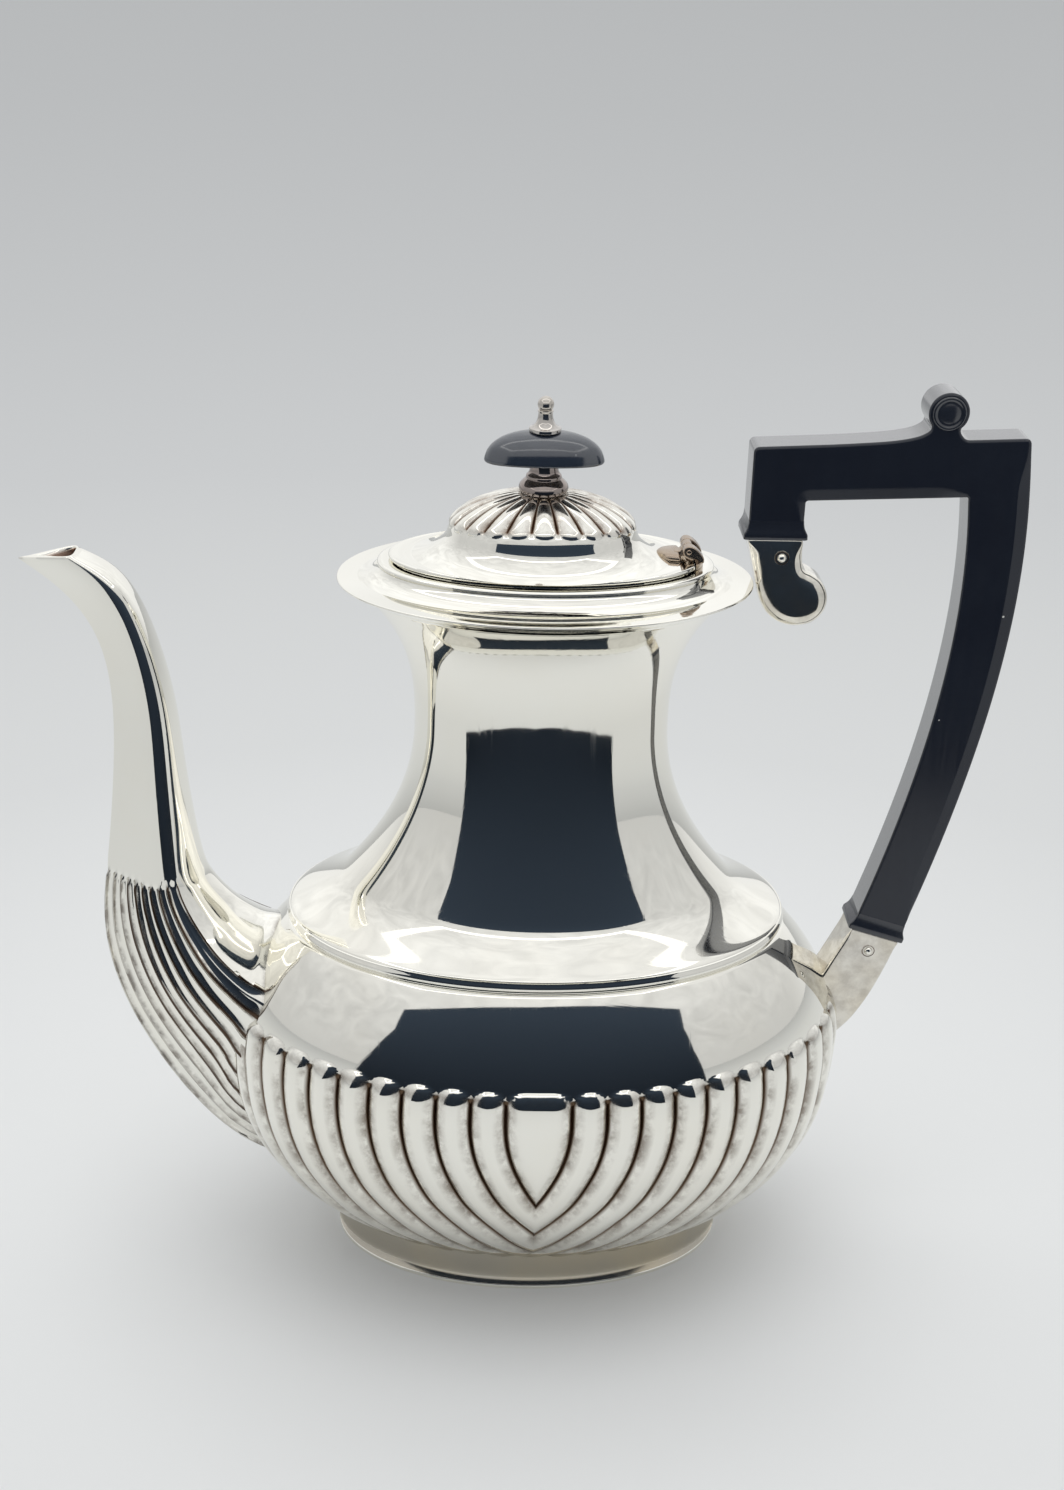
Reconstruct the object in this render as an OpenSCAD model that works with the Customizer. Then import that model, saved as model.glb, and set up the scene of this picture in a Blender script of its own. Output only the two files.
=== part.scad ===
// Oval coffee pot: half-fluted bowl on a spreading foot, waisted neck with a wide rim, swan-neck spout,
// square-topped handle held in two sockets, and a hinged lid with a turned finial.
// Millimetres, +Z up. It stands on z = 0, midway between the spout's tip and the back of the handle.

/* [Overall] */
// Power of the oval plan: 2 is an ellipse, more is squarer
oval_power = 2.05; // [1.9:0.05:2.3]
// Thickness of the metal of bowl and neck
wall = 1.2; // [0.9:0.1:1.6]
// Gap left between soldered curved faces
joint_gap = 0.1; // [0.05:0.05:0.3]

/* [Foot] */
// Length of the foot where it stands
foot_len = 99.4; // [98:0.2:104]
// Width of the foot where it stands
foot_wid = 61.2; // [60:0.2:66]
// Height of the foot
foot_h = 10; // [8:0.5:12]
// Height of the wire that edges the foot
foot_wire_h = 1.2; // [0.8:0.1:2]
// How far the top of the foot stands inside the bowl's edge
foot_step = 1; // [0.5:0.1:1.5]

/* [Bowl] */
// Length of the bowl at its bottom edge
bowl_base_len = 98; // [94:0.5:99]
// Width of the bowl at its bottom edge
bowl_base_wid = 60; // [57:0.5:61]
// Length of the bowl at its widest
belly_len = 151.4; // [146:0.2:156]
// Width of the bowl at its widest
belly_wid = 106; // [102:0.2:110]
// Height of the widest place of the bowl
belly_z = 59; // [55:0.5:63]
// Length of the bowl at the shoulder
shoulder_len = 120.6; // [116:0.2:124]
// Width of the bowl at the shoulder
shoulder_wid = 80.8; // [77:0.2:85]
// Height of the bowl's top edge
shoulder_z = 92.6; // [90:0.2:95]
// Number of flutes in a quarter of the bowl
flutes = 11; // [8:1:12]
// Depth of the grooves between the flutes
flute_depth = 1.3; // [0.6:0.1:1.6]
// Height of the rounded tops of the flutes
flute_top_z = 73; // [69:0.5:77]
// Half length of the plain shield at the front, measured round the bowl
shield_half = 8; // [6:0.5:14]
// Diameter of the strainer holes behind the spout
strainer_d = 6.2; // [6:0.2:6.8]

/* [Neck] */
// Height of the shoulder moulding
band_h = 2.8; // [2:0.2:4]
// How far the shoulder moulding stands out
band_out = 0.7; // [0.4:0.1:1.2]
// Length of the neck at its waist
waist_len = 60; // [56:0.5:64]
// Width of the neck at its waist
waist_wid = 40; // [36:0.5:44]
// Height of the waist
waist_z = 144; // [138:0.5:150]
// Length of the neck where it meets the rim
neck_top_len = 83; // [79:0.5:87]
// Width of the neck where it meets the rim
neck_top_wid = 57; // [53:0.5:60]
// Height where the neck meets the rim
neck_top_z = 176; // [172:0.5:180]

/* [Rim] */
// Length of the rim
rim_len = 95.6; // [92:0.2:99]
// Width of the rim
rim_wid = 66.8; // [63:0.2:70]
// Height of the rim above the neck
rim_h = 3.7; // [3.4:0.1:5]
// Thickness of the rim's edge
rim_edge = 1; // [0.8:0.1:1.4]
// Length of the mouth inside the lid's seat
mouth_len = 70.4; // [68:0.2:73]
// Width of the mouth inside the lid's seat
mouth_wid = 38.4; // [36:0.2:41]
// Thickness of the lid's seat
seat_t = 3; // [1.8:0.1:3.6]
// Height of the lid's seat above the rim
seat_h = 3.9; // [3:0.1:4.6]

/* [Lid] */
// How far the lid's edge stands over its seat
lid_over = 0.8; // [0.4:0.1:1.4]
// Clearance between lid and seat
lid_gap = 0.4; // [0.3:0.05:0.6]
// Thickness of the lid's edge
lid_edge = 1; // [0.8:0.1:1.4]
// Depth of the bezel under the lid
bezel_h = 2.8; // [2:0.1:3.2]
// Length of the dome
dome_len = 44.4; // [42:0.2:47]
// Width of the dome
dome_wid = 32; // [30:0.2:33]
// Height of the dome above the lid's edge
dome_h = 14.6; // [13:0.2:16]
// How far the dome stands from the pot's axis, away from the hinge
dome_off = 1; // [0:0.1:2]
// Number of flutes on the dome
dome_flutes = 26; // [20:2:28]

/* [Finial] */
// Height of the turned base under the knob
finial_base_h = 7.2; // [6.4:0.2:8]
// Radius of the turned base where it stands
finial_base_r = 5.6; // [5:0.1:6.2]
// Length of the knob
knob_len = 27; // [25:0.2:30]
// Width of the knob
knob_wid = 12.8; // [11.4:0.2:15]
// Height of the knob over its base
knob_h = 6.8; // [6.2:0.2:8]
// How far the ends of the knob hang below its middle
knob_droop = 0.4; // [0:0.2:2]
// Height of the cap over the knob
cap_h = 8; // [7.8:0.2:9.4]
// Radius of the cap where it stands
cap_r = 3.7; // [3.4:0.1:3.9]
// Radius of the ball on the cap
ball_r = 1.9; // [1.6:0.1:2.2]
// Radius of the spindle through knob and lid
spindle_r = 1.3; // [1:0.1:1.6]

/* [Hinge] */
// Distance from the pot's axis to the hinge pin
hinge_x = 32.2; // [31.8:0.1:32.6]
// Length of the hinge
hinge_len = 9; // [8:0.5:11]
// Radius of the knuckles
knuckle_r = 1.3; // [1.2:0.1:1.5]
// Radius of the hinge pin
hinge_pin_r = 0.6; // [0.5:0.05:0.8]
// Radial clearance of the pin in the lid's knuckle
hinge_fit = 0.05; // [0.02:0.01:0.09]

/* [Spout] */
// Distance from the pot's axis to the spout's tip
spout_reach = 120; // [116:0.5:124]
// Height of the spout's tip
spout_tip_z = 182; // [178:0.5:186]
// Thickness of the spout's metal
spout_wall = 1.1; // [0.8:0.1:1.4]
// Depth of the reeding on the spout
reed_depth = 0.5; // [0:0.1:0.8]
// Height of the middle of the spout's root on the bowl
root_z = 53; // [51:0.5:54]
// Half height of the spout's root
root_half_h = 37; // [35:0.5:37.5]
// Half width of the spout's root at its middle
root_half_w = 22; // [20:0.5:23]
// Sag of the spout's underside between the root and the first bend
root_sag = 4; // [0:0.5:5]

/* [Handle] */
// Distance from the pot's axis to the back of the handle
handle_reach = 108.6; // [105:0.2:112]
// Thickness of the handle
handle_t = 9.6; // [8:0.2:11]
// Height of the handle's top above the rim, at its inner end
handle_rise = 32.3; // [28:0.1:36]
// Rise of the top bar toward the back
bar_rise = 3; // [0:0.2:4]
// Depth of the top bar
bar_h = 12.4; // [11:0.2:14]
// Width of the inner leg
leg_w = 12.5; // [11:0.1:14]
// Width of the arm at the top
arm_w = 13.6; // [12:0.1:15]
// Width of the arm at its foot
arm_foot_w = 12.4; // [11:0.1:13]
// How far the collars stand out
collar_out = 1; // [0.6:0.1:1.4]
// Height of the collars
collar_h = 3.4; // [2.4:0.2:4.4]
// Radius of the thumb scroll
scroll_r = 4.3; // [3.6:0.1:5]
// Thickness of the metal of the sockets
socket_wall = 1.2; // [0.9:0.1:1.6]
// Clearance of the handle's tenons in the sockets
tenon_gap = 0.15; // [0.1:0.05:0.3]
// Height of the upper socket's top above the rim
socket_rise = 11; // [9:0.5:13]
// Radius of the handle pins
handle_pin_r = 1.2; // [0.9:0.1:1.4]
// Radial clearance of the handle pins
handle_pin_fit = 0.05; // [0.02:0.01:0.1]

/* [Hidden] */

silver = "gainsboro";
ebony = "#1c1c20";
steps = 48;
curve_fn = 64;
tiny = 0.01;

// The pot's own axis stands off the origin, which is midway between spout and handle.
axis_x = (spout_reach - handle_reach) / 2;

rim_top = neck_top_z + rim_h;
seat_top = rim_top + seat_h;
lid_z = seat_top + lid_gap;
lid_top = lid_z + lid_edge;
dome_top = lid_top + dome_h;
neck_base_z = shoulder_z + band_h;

function mix(a, b, t) = a + (b - a) * t;

// A point of the oval plan at a parameter angle.
function oval_pt(a, b, z, t) =
    let (c = cos(t), s = sin(t))
    [a * sign(c) * pow(abs(c), 2 / oval_power), b * sign(s) * pow(abs(s), 2 / oval_power), z];

// A ring of the oval plan from half length, half width and height.
function oval_ring(a, b, z) = [for (k = [0:steps - 1]) oval_pt(a, b, z, 360 * k / steps)];

// A cubic curve from four values or points.
function bez(p, t) =
    pow(1 - t, 3) * p[0] + 3 * pow(1 - t, 2) * t * p[1] + 3 * (1 - t) * t * t * p[2] + t * t * t * p[3];

// A smooth curve through a row of stations, at a place counted in stations.
function through(rows, s) =
    let (
        n = len(rows),
        i = min(n - 2, floor(s)),
        t = s - i,
        b = rows[i],
        c = rows[i + 1],
        a = i > 0 ? rows[i - 1] : 2 * b - c,
        d = i < n - 2 ? rows[i + 2] : 2 * c - b
    )
    0.5 * (2 * b + (c - a) * t + (2 * a - 5 * b + 4 * c - d) * t * t + (3 * b - a - 3 * c + d) * t * t * t);

// Skins a row of rings. Closed joins the last ring to the first, otherwise both ends are capped.
module skin(rings, closed = true) {
    n = len(rings[0]);
    m = len(rings);
    last = closed ? m - 1 : m - 2;
    side = [for (i = [0:last], j = [0:n - 1])
        let (p = i * n, q = ((i + 1) % m) * n, k = (j + 1) % n)
        each [[p + j, q + j, q + k], [p + j, q + k, p + k]]];
    caps = closed ? [] : [[for (j = [0:n - 1]) j], [for (j = [n - 1:-1:0]) (m - 1) * n + j]];
    polyhedron(points = [for (r = rings) each r], faces = concat(side, caps), convexity = 8);
}

// Half sizes of the bowl at a height: the lower part swells, the upper part draws in.
bowl_low_power = 2.4;
bowl_high_power = 2.4;
function bowl_half(low, mid, high, z) =
    z < belly_z
    ? low + (mid - low) * (1 - pow((belly_z - z) / (belly_z - foot_h), bowl_low_power))
    : mid - (mid - high) * pow((z - belly_z) / (shoulder_z - belly_z), bowl_high_power);
function bowl_a(z) = bowl_half(bowl_base_len / 2, belly_len / 2, shoulder_len / 2, z);
function bowl_b(z) = bowl_half(bowl_base_wid / 2, belly_wid / 2, shoulder_wid / 2, z);

// Distance of the bowl's end wall from the pot's axis, at a place beside the axis and a height.
function bowl_x(y, z) =
    bowl_a(z) * pow(max(0, 1 - pow(abs(y) / bowl_b(z), oval_power)), 1 / oval_power);

// Length round a quarter of the belly, from its end, against the parameter angle.
function arc_rows(i = 0, len = 0) =
    let (
        p = oval_pt(belly_len / 2, belly_wid / 2, 0, i * 5),
        q = oval_pt(belly_len / 2, belly_wid / 2, 0, i * 5 + 5)
    )
    i >= 18 ? [[len, 90]] : concat([[len, i * 5]], arc_rows(i + 1, len + norm(q - p)));
arc_table = arc_rows();
quarter = arc_table[len(arc_table) - 1][0];

// Places round a quarter of the bowl, from its end to the shield, each with a groove or a crest.
pitch = (quarter - shield_half) / flutes;
flute_marks = concat(
    [for (k = [0:flutes - 1]) each [[k * pitch, 1], [(k + 0.3) * pitch, 0], [(k + 0.7) * pitch, 0]]],
    [[quarter - shield_half, 1], [quarter - 0.7 * shield_half, 0], [quarter, 0]]);
mark_n = len(flute_marks) - 1;

// A fluted ring of the bowl. The flutes keep their width from the ends and crowd together at the front.
function bowl_ring(z, deep, in) =
    let (
        crowd = max(1, belly_len / 2 / bowl_a(z)),
        pts = [for (m = flute_marks)
            let (
                u = 1 - pow(1 - m[0] / quarter, crowd),
                t = lookup(u * quarter, arc_table),
                cut = in + deep * flute_depth * m[1]
            )
            oval_pt(bowl_a(z) - cut, bowl_b(z) - cut, z, t)]
    )
    concat(
        [for (i = [0:mark_n]) pts[i]],
        [for (i = [mark_n - 1:-1:0]) [-pts[i][0], pts[i][1], z]],
        [for (i = [1:mark_n]) [-pts[i][0], -pts[i][1], z]],
        [for (i = [mark_n - 1:-1:1]) [pts[i][0], -pts[i][1], z]]);

// Half sizes of the neck: it flares from the waist up to the rim and down to the rolled shoulder.
flare_up_power = 2.7;
flare_down_power = 2.1;
roll_z = neck_base_z + 8.8;
roll_out = 16.7;
roll_out_wid = 9.8;
roll_drop = 4.8;
roll_slope = flare_down_power * roll_drop / (waist_z - roll_z);
function neck_half(top, waist, out, z) =
    z > waist_z
    ? waist + (top - waist) * pow((z - waist_z) / (neck_top_z - waist_z), flare_up_power)
    : waist + out * pow((waist_z - z) / (waist_z - roll_z), flare_down_power);
roll_t = [0, 0.2, 0.4, 0.55, 0.7, 0.85];
function roll_ring(t, in) =
    let (
        drop = in * 0.7 * min(1, 4 * t),
        a0 = waist_len / 2 + roll_out,
        b0 = waist_wid / 2 + roll_out_wid,
        a3 = shoulder_len / 2,
        b3 = shoulder_wid / 2,
        z = bez([neck_base_z, neck_base_z + 0.8, roll_z - roll_drop, roll_z], t)
    )
    oval_ring(
        bez([a3, a3, a0 + roll_out * roll_slope, a0], t) - in,
        bez([b3, b3, b0 + roll_out_wid * roll_slope, b0], t) - in,
        z - drop);
neck_steps = 12;
function neck_ring(i, in) =
    let (z = mix(roll_z, neck_top_z, i / neck_steps))
    oval_ring(
        neck_half(neck_top_len / 2, waist_len / 2, roll_out, z) - in,
        neck_half(neck_top_wid / 2, waist_wid / 2, roll_out_wid, z) - in,
        z - (i == 0 ? in * 0.7 : 0));

foot_wire_t = 2.2;
module foot_wire() {
    a = foot_len / 2;
    b = foot_wid / 2;
    color(silver) translate([axis_x, 0, 0]) skin([
        oval_ring(a, b, 0),
        oval_ring(a, b, foot_wire_h),
        oval_ring(a - foot_wire_t, b - foot_wire_t, foot_wire_h),
        oval_ring(a - foot_wire_t, b - foot_wire_t, 0)]);
}

// The foot curves in from its wire and meets the bowl's bottom edge.
module foot_ring() {
    ledge = 0.3;
    a0 = foot_len / 2 - ledge;
    b0 = foot_wid / 2 - ledge;
    a1 = bowl_base_len / 2 - foot_step;
    b1 = bowl_base_wid / 2 - foot_step;
    rise = foot_h - foot_wire_h;
    sweep = 2.4;
    out = [for (i = [0:5]) let (u = i / 5, w = pow(1 - u, sweep))
        [mix(a1, a0, w), mix(b1, b0, w), foot_wire_h + rise * u]];
    color(silver) translate([axis_x, 0, 0]) skin(concat(
        [for (p = out) oval_ring(p[0], p[1], p[2])],
        [for (i = [5:-1:0]) oval_ring(out[i][0] - wall, out[i][1] - wall, out[i][2])]));
}

module base_plate() {
    in = wall + joint_gap;
    color(silver) translate([axis_x, 0, 0]) skin([
        oval_ring(bowl_base_len / 2 - in, bowl_base_wid / 2 - in, foot_h),
        oval_ring(bowl_base_len / 2 - in, bowl_base_wid / 2 - in, foot_h + wall)], false);
}

// Strainer holes stand in three rows, the middle one with a hole more than the others.
strainer_z = root_z + 10;
hole_pitch_y = strainer_d * 1.5;
hole_pitch_z = strainer_d * 1.3;

// Bowl with its flutes, open at top and bottom, pierced behind the spout.
module lower_bowl() {
    low = foot_h;
    top = flute_top_z;
    cut = [low, low + 4, low + 10, low + 20, mix(low, belly_z, 0.65), belly_z - 4, belly_z + 6, top - 3];
    color(silver) translate([axis_x, 0, 0]) difference() {
        skin(concat(
            [for (i = [0:7]) bowl_ring(cut[i], i == 0 ? 0.5 : i == 7 ? 0.8 : 1, 0)],
            [for (z = [top + 1, mix(top, shoulder_z, 0.55), shoulder_z]) bowl_ring(z, 0, 0)],
            [for (z = [shoulder_z, mix(belly_z, shoulder_z, 0.5), belly_z, mix(low, belly_z, 0.4), low])
                bowl_ring(z, 0, z > top ? wall : wall + (z > low ? flute_depth : 0))]));
        for (k = [-1:1], i = k == 0 ? [-1:1] : [-0.5, 0.5])
            translate([-belly_len / 2 - 1, i * hole_pitch_y, strainer_z + k * hole_pitch_z])
                rotate([0, 90, 0]) cylinder(r = strainer_d / 2, h = 20, $fn = 32);
    }
}

// Moulding over the seam between bowl and neck.
module shoulder_band() {
    a = shoulder_len / 2;
    b = shoulder_wid / 2;
    z = shoulder_z;
    color(silver) translate([axis_x, 0, 0]) skin([
        oval_ring(a, b, z),
        oval_ring(a + band_out, b + band_out, z + band_h * 0.3),
        oval_ring(a + band_out, b + band_out, z + band_h * 0.7),
        oval_ring(a, b, z + band_h),
        oval_ring(a - wall, b - wall, z + band_h),
        oval_ring(a - wall, b - wall, z)]);
}

module upper_body() color(silver) translate([axis_x, 0, 0]) skin(concat(
    [for (t = roll_t) roll_ring(t, 0)],
    [for (i = [0:neck_steps]) neck_ring(i, 0)],
    [for (i = [neck_steps:-2:0]) neck_ring(i, wall)],
    [for (k = [4:-2:0]) roll_ring(roll_t[k], wall)]));

// Everted rim: it spreads from the neck and turns in to carry the lid's seat.
module rim_flange() {
    an = neck_top_len / 2;
    bn = neck_top_wid / 2;
    ar = rim_len / 2;
    br = rim_wid / 2;
    am = mouth_len / 2;
    bm = mouth_wid / 2;
    color(silver) translate([axis_x, 0, 0]) skin([
        oval_ring(an - wall, bn - wall, neck_top_z),
        oval_ring(an, bn, neck_top_z),
        oval_ring(mix(an, ar, 0.5), mix(bn, br, 0.5), neck_top_z + (rim_h - rim_edge) * 0.55),
        oval_ring(ar, br, rim_top - rim_edge),
        oval_ring(ar, br, rim_top),
        oval_ring(am, bm, rim_top),
        oval_ring(am, bm, rim_top - 1.2),
        oval_ring(an - 2 * wall, bn - 2 * wall, rim_top - 1.6)]);
}

module lid_seat_ring() {
    a = mouth_len / 2;
    b = mouth_wid / 2;
    color(silver) translate([axis_x, 0, 0]) skin([
        oval_ring(a + seat_t, b + seat_t, rim_top),
        oval_ring(a + seat_t, b + seat_t, seat_top - 0.8),
        oval_ring(a + seat_t - 0.8, b + seat_t - 0.8, seat_top),
        oval_ring(a, b, seat_top),
        oval_ring(a, b, rim_top)]);
}

// Stations of the spout: how far the outer and inner edges stand off the bowl's end, their heights,
// and half the width. The last one is the mouth.
tip_out = spout_reach - belly_len / 2;
tip_dz = spout_tip_z - 182;
spout_rows = [
    [11.5, 37, -9, 90.5, root_half_w - 1.5],
    [24.5, 60, -5.5, 92.5, 18],
    [30.3, 80, -1.5, 95.5, 14.5],
    [30.4, 95, 3.2, 101, 12],
    [28.6, 106, 5.8, 107.5, 10.4],
    [26, 128, 8.6, 128, 8.4],
    [25, 148 + tip_dz / 2, 10.5, 148.5 + tip_dz / 2, 7.1],
    [27.4, 163 + tip_dz, 15.2, 167 + tip_dz, 6.3],
    [34.3, 174 + tip_dz, 21.6, 178.5 + tip_dz, 5.7],
    [tip_out, spout_tip_z, tip_out - 13.5, spout_tip_z + 1.8, 4.7]];
reed_rows = 3.5;

// The spout's section is pear shaped: narrow at its outer edge and widest near its inner one.
spout_pear = 0.8;
pear_turn = (sqrt(1 + 8 * spout_pear * spout_pear) - 1) / (4 * spout_pear);
pear_wide = sqrt(1 - pear_turn * pear_turn) * (1 + spout_pear * pear_turn);
function pear(t) = sin(t) * (1 + spout_pear * cos(t)) / pear_wide;

// A ring of the spout between its outer and inner edge, thinned by in, with reeds up to its widest place.
spout_n = 48;
function spout_ring(row, in, reed) =
    let (
        x0 = -belly_len / 2,
        o = [x0 - row[0], row[1]],
        i = [x0 - row[2], row[3]],
        c = (o + i) / 2,
        e = (i - o) / 2,
        k = 1 - in / norm(e)
    )
    [for (j = [0:spout_n - 1])
        let (
            t = 360 * j / spout_n,
            outer = cos(t) < pear_turn ? 1 : 0,
            f = 1 - reed * outer * (j % 2) * reed_depth / norm(e)
        )
        [c[0] + e[0] * k * f * cos(t), -(row[4] - in) * f * pear(t), c[1] + e[1] * k * f * cos(t)]];

// The spout's root lies on the bowl, widest above its middle.
function root_ring(in) = [for (j = [0:spout_n - 1])
    let (
        t = 360 * j / spout_n,
        z = root_z + (root_half_h - in) * cos(t),
        y = -(root_half_w - in) * pear(t)
    )
    [-bowl_x(y, z) - joint_gap, y, z]];

// Ring between the root and the first station, with its underside full.
function root_bend() =
    let (root = root_ring(0), next = spout_ring(spout_rows[0], 0, 1))
    [for (j = [0:spout_n - 1]) mix(root[j], next[j], 0.5)
        + max(0, -cos(360 * j / spout_n)) * [-root_sag / 4, 0, -root_sag]];

module spout() {
    n = len(spout_rows) - 1;
    color(silver) translate([axis_x, 0, 0]) skin(concat(
        [root_ring(0), root_bend()],
        [for (i = [0:3 * n]) spout_ring(through(spout_rows, i / 3), 0, i / 3 < reed_rows ? 1 : 0)],
        [for (s = [n:-1:0]) spout_ring(spout_rows[s], spout_wall, 0)],
        [root_ring(spout_wall)]));
}

// Handle, its collars, tenons and pins. The upper socket stands against the rim's end.
leg_in = 2.5;
leg_x = rim_len / 2 - leg_in;
handle_top_z = rim_top + handle_rise;
socket_top = rim_top + socket_rise;
foot_tilt = 17.5;
foot_x = belly_len / 2 + 8.3;
foot_z = shoulder_z - 4;
tenon_l = 9;
tenon_t = handle_t - 2;
socket_t = tenon_t + 2 * (socket_wall + tenon_gap);
upper_pin = [leg_x + 8, socket_top - 4.2];

// Rounded curve of the arm, from its top to the collar at its foot.
function arm_edge(top, mid, low, foot) =
    [for (k = [0:12]) bez([top, mid, low, foot], k / 12)];

// Moves a place from the lower socket's own frame to the pot's side view.
function at_foot(u, v) = [
    foot_x + u * cos(foot_tilt) + v * sin(foot_tilt),
    foot_z - u * sin(foot_tilt) + v * cos(foot_tilt)];

// Thickens a side-view outline across the pot's middle.
module across(t) translate([axis_x, t / 2, 0]) rotate([90, 0, 0]) linear_extrude(height = t) children();

module handle() {
    z0 = handle_top_z;
    z1 = handle_top_z + bar_rise;
    back = handle_reach;
    collar_top = socket_top + collar_h;
    outer = arm_edge(
        [back - 0.6, z1 - 9.3],
        [back + 2.6, z1 - 43],
        [back - 3.8, foot_z + 47],
        at_foot(arm_foot_w / 2, collar_h));
    inner = arm_edge(
        [back - arm_w - 0.6, z1 - bar_h - 1.4],
        [back - arm_w + 3, z1 - 45],
        [back - arm_w - 3, foot_z + 46],
        at_foot(-arm_foot_w / 2, collar_h));
    scroll = [back - 20.6, z1 + 5.4];
    bar_low = handle_top_z - bar_h + 0.2;
    color(ebony) difference() {
        union() {
            across(handle_t) polygon(concat(
                [[leg_x, socket_top + tiny], [leg_x, z0], [back - 1.5, z1]],
                outer,
                [for (k = [12:-1:0]) inner[k]],
                [[leg_x + leg_w, bar_low], [leg_x + leg_w, socket_top + tiny]]));
            across(handle_t + 2 * collar_out) polygon([
                [leg_x - collar_out, socket_top],
                [leg_x - collar_out, collar_top - 1],
                [leg_x, collar_top],
                [leg_x + leg_w, collar_top],
                [leg_x + leg_w + collar_out, collar_top - 1],
                [leg_x + leg_w + collar_out, socket_top]]);
            across(handle_t + 2 * collar_out) polygon([
                at_foot(-arm_foot_w / 2 - collar_out, 0),
                at_foot(-arm_foot_w / 2 - collar_out, collar_h - 1),
                at_foot(-arm_foot_w / 2, collar_h),
                at_foot(arm_foot_w / 2, collar_h),
                at_foot(arm_foot_w / 2 + collar_out, collar_h - 1),
                at_foot(arm_foot_w / 2 + collar_out, 0)]);
            across(handle_t) polygon([
                [scroll[0] - 9.5, z0],
                [scroll[0] - 9.5, z1 - 0.8],
                [scroll[0] - 4, z1 + 1.4],
                [scroll[0] - 3, scroll[1]],
                [scroll[0] + 3, scroll[1]],
                [scroll[0] + 3.2, z0]]);
            across(handle_t) translate(scroll) circle(r = scroll_r, $fn = curve_fn);
            across(tenon_t) polygon([
                [leg_x + socket_wall + tenon_gap, socket_top + 1],
                [leg_x + leg_w - socket_wall - tenon_gap, socket_top + 1],
                [leg_x + leg_w - socket_wall - tenon_gap, socket_top - tenon_l],
                [leg_x + socket_wall + tenon_gap + 1.5, socket_top - tenon_l]]);
            across(tenon_t) polygon([
                at_foot(-arm_foot_w / 2 + socket_wall + tenon_gap, 1),
                at_foot(arm_foot_w / 2 - socket_wall - tenon_gap, 1),
                at_foot(arm_foot_w / 2 - socket_wall - tenon_gap - 0.8, -tenon_l),
                at_foot(-arm_foot_w / 2 + socket_wall + tenon_gap, -tenon_l)]);
        }
        for (s = [-1, 1])
            translate([axis_x + scroll[0], s * handle_t / 2, scroll[1]])
                rotate([90, 0, 0]) cylinder(r = scroll_r * 0.68, h = 2, center = true, $fn = curve_fn);
        pin_hole(upper_pin);
        pin_hole(at_foot(0, -tenon_l / 2));
    }
}

module pin_hole(p) translate([axis_x + p[0], 0, p[1]])
    rotate([90, 0, 0]) cylinder(r = handle_pin_r + handle_pin_fit, h = 40, center = true, $fn = 32);

module handle_pin(p) color(silver) translate([axis_x + p[0], 0, p[1]])
    rotate([90, 0, 0]) cylinder(r = handle_pin_r, h = socket_t + 0.6, center = true, $fn = 32);

module upper_handle_pin() handle_pin(upper_pin);
module lower_handle_pin() handle_pin(at_foot(0, -tenon_l / 2));

// Boot-shaped socket with a rounded toe, soldered to the end of the rim.
toe_r = 5.8;
toe_out = 1.5;
toe_drop = 14.3;
heel_r = 9.6;
heel_drop = 10.4;
module upper_socket() {
    toe = [leg_x + leg_w + toe_out, socket_top - toe_drop];
    heel = [leg_x + leg_w - joint_gap, socket_top - heel_drop];
    stand = rim_len / 2 + joint_gap - leg_x;
    color(silver) difference() {
        union() {
            across(socket_t) polygon([
                [leg_x, socket_top],
                [leg_x + leg_w, socket_top],
                [leg_x + leg_w + toe_out * 0.4, socket_top - toe_drop / 2],
                [toe[0], toe[1] + toe_r * 0.86],
                [heel[0], heel[1] - heel_r * 0.94],
                [leg_x + stand + toe_out, heel[1] - heel_r * 0.31],
                [leg_x + stand, rim_top - rim_edge],
                [leg_x + stand, rim_top + rim_edge]]);
            across(socket_t) intersection() {
                translate(heel) circle(r = heel_r, $fn = curve_fn);
                translate([leg_x + stand, heel[1] - 2 * heel_r])
                    square([toe[0] - leg_x - stand, 2.2 * heel_r]);
            }
            across(socket_t) translate(toe) circle(r = toe_r, $fn = curve_fn);
        }
        across(tenon_t + 2 * tenon_gap) polygon([
            [leg_x + socket_wall, socket_top + 1],
            [leg_x + leg_w - socket_wall, socket_top + 1],
            [leg_x + leg_w - socket_wall, socket_top - tenon_l - tenon_gap],
            [leg_x + socket_wall + 1.5, socket_top - tenon_l - tenon_gap]]);
        pin_hole(upper_pin);
    }
}

// Lower socket, cut to the bowl's end at its foot.
module lower_socket() {
    low = belly_z + 0.5;
    high = foot_z - 11;
    seat = [for (k = [0:6]) let (z = mix(low, high, k / 6)) [bowl_a(z) + joint_gap + 0.2, z]];
    right = at_foot(arm_foot_w / 2, 0);
    color(silver) difference() {
        across(socket_t) polygon(concat(
            seat,
            [at_foot(-arm_foot_w / 2, 0), right],
            [for (k = [1:5]) let (t = k / 6) [
                bez([right[0], right[0] - 3, seat[0][0] + 8, seat[0][0] + 0.6], t),
                bez([right[1], right[1] - 9, low + 9, low], t)]]));
        across(tenon_t + 2 * tenon_gap) polygon([
            at_foot(-arm_foot_w / 2 + socket_wall, 1),
            at_foot(arm_foot_w / 2 - socket_wall, 1),
            at_foot(arm_foot_w / 2 - socket_wall - 0.8, -tenon_l - tenon_gap),
            at_foot(-arm_foot_w / 2 + socket_wall, -tenon_l - tenon_gap)]);
        pin_hole(at_foot(0, -tenon_l / 2));
    }
}

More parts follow.
